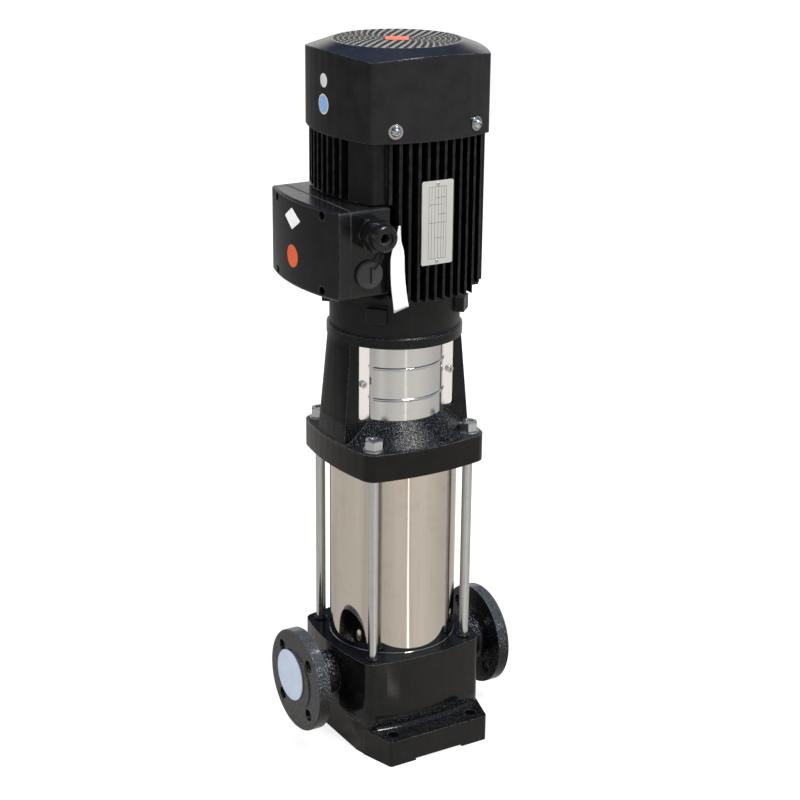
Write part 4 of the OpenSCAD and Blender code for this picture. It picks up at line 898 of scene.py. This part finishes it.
def between(rows, t):
    """A value read off rows of (place, value), straight between them"""
    for (a, low), (b, high) in zip(rows, rows[1:]):
        if t <= b:
            return low + (high - low) * (t - a) / (b - a)
    return rows[-1][1]


class PUMP_OT_hang_tag(bpy.types.Operator):
    """Replace the plain tag by a thin twisted strip on a tie round the gland"""

    bl_idname = "pump.hang_tag"
    bl_label = "Hang tag"

    def execute(self, context):
        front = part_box("hang_tag")[0].y
        top = Vector((-45.5 * MM, front, 602 * MM))
        drop, rows, columns = 88 * MM, 30, 6
        points, faces = [], []
        for r in range(rows + 1):
            t = r / rows
            half = between(TAG_HALVES, t) * MM
            twist = math.radians(-14 + 20 * t)
            lean = 3.5 * MM * t - 3.6 * MM * math.sin(math.pi * t)
            for c in range(columns + 1):
                s = 2 * c / columns - 1
                cup = 0.9 * MM * (s * s - 0.4) * math.sin(math.pi * min(1.0, t * 1.4))
                slant = 22 * MM * -s * max(0.0, t - 0.9)
                points.append((top.x + lean + s * half * math.cos(twist),
                               top.y - cup + s * half * math.sin(twist) * 0.35, top.z - t * drop - slant))
        for r in range(rows):
            for c in range(columns):
                a = r * (columns + 1) + c
                faces.append((a, a + columns + 1, a + columns + 2, a + 1))
        tag = mesh_object("tag_strip", points, faces, smooth=True)
        thick = tag.modifiers.new("thickness", "SOLIDIFY")
        thick.thickness, thick.offset = 0.35 * MM, 0.0
        seat(tag, "pump", FINISH["white_tag"])
        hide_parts("hang_tag")
        low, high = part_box("gland_body")
        gland = (low + high) / 2
        turns = [math.radians(35 + 290 * i / 29) for i in range(30)]
        path = [(gland.x + GLAND_NECK * math.cos(a), front + 1.2 * MM, gland.z + GLAND_NECK * math.sin(a))
                for a in turns]
        path.append((top.x, front + 0.3 * MM, top.z - 1.5 * MM))
        grown("tag_tie", path_host(path, True), cord_tree(), {"Section": 0.6 * MM, "Sides": 8},
              "black_plastic")
        return {"FINISHED"}


# Lamps: name, place, size and power
SIDE_LAMPS = (("suction_side_lamp", (-2.2, -0.5, 1.3), 1.8, 46.0),
              ("discharge_side_lamp", (2.0, -1.2, 1.3), 1.8, 22.0),
              ("rear_lamp", (0.9, 1.9, 1.5), 1.4, 26.0))
# Streaks of light on the floor: name, half width at the near end, height in millimetres and brightness
STREAKS = (("wide_streak", 0.04, 1.0, 0.78), ("soft_streak", 0.022, 1.5, 1.0),
           ("sun_streak", 0.006, 2.0, 3.0))
# What gloss and metal see: the floor's brightness by its side in degrees, and two skies by height
GROUND = ((-180.0, 0.8), (-168.0, 0.45), (-150.0, 0.9), (-137.0, 0.55), (-113.0, 0.9), (-67.0, 1.0),
          (-22.0, 0.6), (20.0, 0.5), (70.0, 0.7), (180.0, 0.8))
SKY = ((0.0, (0.8, 0.79, 0.76)), (0.27, (1.0, 1.0, 0.97)), (0.36, (0.36, 0.37, 0.39)),
       (0.44, (0.04, 0.055, 0.11)), (0.54, (0.04, 0.08, 0.24)), (0.72, (0.09, 0.17, 0.42)),
       (0.88, (0.27, 0.37, 0.58)), (1.0, (0.34, 0.44, 0.64)))
HAZE = ((0.0, (0.55, 0.58, 0.6)), (0.6, (0.46, 0.56, 0.68)), (0.8, (0.46, 0.55, 0.68)),
        (1.0, (0.4, 0.5, 0.66)))


def card(name, points, brightness):
    """A warm studio card that only gloss and metal see; it casts no shadow"""
    made = mesh_object(name, points, [tuple(range(len(points)))])
    material = bpy.data.materials.new(name)
    graph = cleared(material)
    glow = graph.node("ShaderNodeEmission", {"Color": (1.0, 0.97, 0.92, 1.0), "Strength": brightness})
    graph.join(glow.outputs[0], graph.node("ShaderNodeOutputMaterial").inputs["Surface"])
    made.data.materials.append(material)
    made.visible_camera = made.visible_diffuse = made.visible_shadow = False
    made.visible_transmission = made.visible_volume_scatter = False


def lamp(name, place, size, power, tone=UNIT):
    """A soft square lamp that points at the pump's middle"""
    data = bpy.data.lights.new(name, "AREA")
    data.shape, data.size, data.energy, data.color = "SQUARE", size, power, tone
    made = link(bpy.data.objects.new(name, data))
    made.location = place
    made.rotation_euler = (Vector((0.0, 0.0, 0.4)) - Vector(place)).to_track_quat("-Z", "Y").to_euler()
    return made


class PUMP_OT_stage(bpy.types.Operator):
    """Set the camera, the pale floor, the lamps and the cards"""

    bl_idname = "pump.stage"
    bl_label = "Camera, lamps and floor"

    def execute(self, context):
        scene, stage = context.scene, context.scene.pump_stage
        scene.view_settings.view_transform = "Standard"
        self.camera(scene, stage)
        self.floor(stage)
        self.world(scene)
        lamp("sun_lamp", (0.42, -1.58, 2.92), 0.7, 100.0, (1.0, 0.985, 0.96))
        for name, place, size, power in SIDE_LAMPS:
            lamp(name, place, size, power).visible_glossy = False
        self.cards()
        return {"FINISHED"}

    def camera(self, scene, stage):
        data = bpy.data.cameras.new("camera")
        data.sensor_width, data.lens = 36.0, stage.lens
        data.shift_x, data.shift_y = 0.0079, -0.0017
        eye = link(bpy.data.objects.new("camera", data))
        a, e, r = stage.azimuth, stage.elevation, stage.roll
        back = Vector((math.sin(a) * math.cos(e), -math.cos(a) * math.cos(e), math.sin(e)))
        right = Vector((math.cos(a), math.sin(a), 0.0))
        up = back.cross(right)
        right, up = right * math.cos(r) + up * math.sin(r), up * math.cos(r) - right * math.sin(r)
        place = Vector((0.0, 0.0, stage.target_z)) + back * stage.distance
        eye.matrix_world = Matrix.Translation(place) @ Matrix((right, up, back)).transposed().to_4x4()
        scene.camera = eye

    def floor(self, stage):
        """White to the camera with a painted shadow, a little dimmer near the pump; gloss and metal see a
        warm ground, darker far out behind the suction side
        """
        half = 30.0
        made = mesh_object("floor", [(x * half, y * half, 0.0) for x, y in SQUARE], [(0, 1, 2, 3)])
        material = bpy.data.materials.new("floor")
        graph = cleared(material)
        path = graph.node("ShaderNodeLightPath").outputs
        place = graph.place()
        out = graph.vector("LENGTH", place)
        across = graph.vector("DOT_PRODUCT", place, (-0.515, 0.857, 0.0))
        behind = graph.span(graph.math("DIVIDE", across, out), -0.1, 0.6)
        far = graph.times(behind, graph.span(out, 0.85, 1.6))
        side = graph.math("ARCTAN2", graph.axis(place, "Y"), graph.axis(place, "X"))
        patches = graph.ramp(graph.span(side, -math.pi, math.pi),
                             [(turn / 360.0 + 0.5, [bright] * 3) for turn, bright in GROUND])
        ground = graph.times(graph.span(far, 0.0, 1.0, stage.reflected, stage.reflected * 0.1), patches)
        gloss = graph.math("MAXIMUM", path["Is Glossy Ray"], path["Is Transmission Ray"])
        tone = graph.mix(path["Is Camera Ray"], (1.0, 0.93, 0.85, 1.0), rgba(UNIT))
        # Painted shadow: to the camera the floor is dimmer near the pump
        pale = graph.span(out, 0.2, 1.0, stage.glow * 0.87, stage.glow)
        strength = graph.math("ADD", graph.times(gloss, ground), graph.times(path["Is Camera Ray"], pale))
        plain = graph.node("ShaderNodeBsdfDiffuse", {"Color": rgba(stage.floor)}).outputs[0]
        glow = graph.node("ShaderNodeEmission", {"Color": tone, "Strength": strength}).outputs[0]
        both = graph.node("ShaderNodeAddShader", {0: plain, 1: glow}).outputs[0]
        graph.join(both, graph.node("ShaderNodeOutputMaterial").inputs["Surface"])
        made.data.materials.append(material)

    def world(self, scene):
        """White to the camera, soft white light, and to gloss a pale horizon under a deep blue sky"""
        scene.world = bpy.data.worlds.new("studio")
        graph = cleared(scene.world)
        path = graph.node("ShaderNodeLightPath").outputs
        gloss = graph.math("MAXIMUM", path["Is Glossy Ray"], path["Is Transmission Ray"])
        way = graph.node("ShaderNodeTexCoord").outputs["Generated"]
        height = graph.axis(way, "Z")
        ahead = graph.vector("DOT_PRODUCT", way, (0.26, -0.97, 0.0))
        over = graph.mix(graph.span(ahead, 0.4, 0.58), graph.ramp(height, SKY), graph.ramp(height, HAZE))
        plain = graph.math("ADD", 0.35, graph.times(path["Is Camera Ray"], 0.65))
        light = graph.node("ShaderNodeCombineXYZ", {0: plain, 1: plain, 2: plain}).outputs[0]
        shown = graph.node("ShaderNodeBackground", {"Color": graph.mix(gloss, light, over),
                                                    "Strength": 1.0}).outputs[0]
        graph.join(shown, graph.node("ShaderNodeOutputWorld").inputs["Surface"])

    def cards(self):
        """Soft bright streaks on the floor give the metal its highlight"""
        turn = math.radians(-93.5)
        out, side = Vector((math.cos(turn), math.sin(turn), 0)), Vector((-math.sin(turn), math.cos(turn), 0))
        near, far, spread = 0.2, 2.6, 3.0
        for name, half, lift, brightness in STREAKS:
            corners = [out * near - side * half, out * far - side * half * spread,
                       out * far + side * half * spread, out * near + side * half]
            card(name, [(p.x, p.y, lift * MM) for p in corners], brightness)


class PUMP_PT_panel(bpy.types.Panel):
    """Lists the steps that dress the pump"""

    bl_idname = "PUMP_PT_panel"
    bl_label = "Pump"
    bl_space_type = "VIEW_3D"
    bl_region_type = "UI"
    bl_category = "Pump"

    def draw(self, context):
        for step in STEPS:
            self.layout.operator(step.bl_idname)
        for label in SETTINGS:
            group = getattr(context.scene, label)
            box = self.layout.box()
            for name in group.__annotations__:
                box.prop(group, name)


SETTINGS = {"pump_paint": PumpPaint, "pump_steel": PumpSteel, "pump_trim": PumpTrim, "pump_stage": PumpStage}
STEPS = [PUMP_OT_stage, PUMP_OT_finishes, PUMP_OT_grille_rims, PUMP_OT_rod_trim, PUMP_OT_nameplate,
         PUMP_OT_stickers, PUMP_OT_box_trim, PUMP_OT_hang_tag]


def register():
    for item in [*SETTINGS.values(), *STEPS, PUMP_PT_panel]:
        bpy.utils.register_class(item)
    for label, group in SETTINGS.items():
        setattr(bpy.types.Scene, label, PointerProperty(type=group))


def unregister():
    for label in SETTINGS:
        delattr(bpy.types.Scene, label)
    for item in reversed([*SETTINGS.values(), *STEPS, PUMP_PT_panel]):
        bpy.utils.unregister_class(item)


def main():
    register()
    for step in STEPS:
        group, name = step.bl_idname.split(".")
        getattr(getattr(bpy.ops, group), name)()


if __name__ == "__main__":
    main()
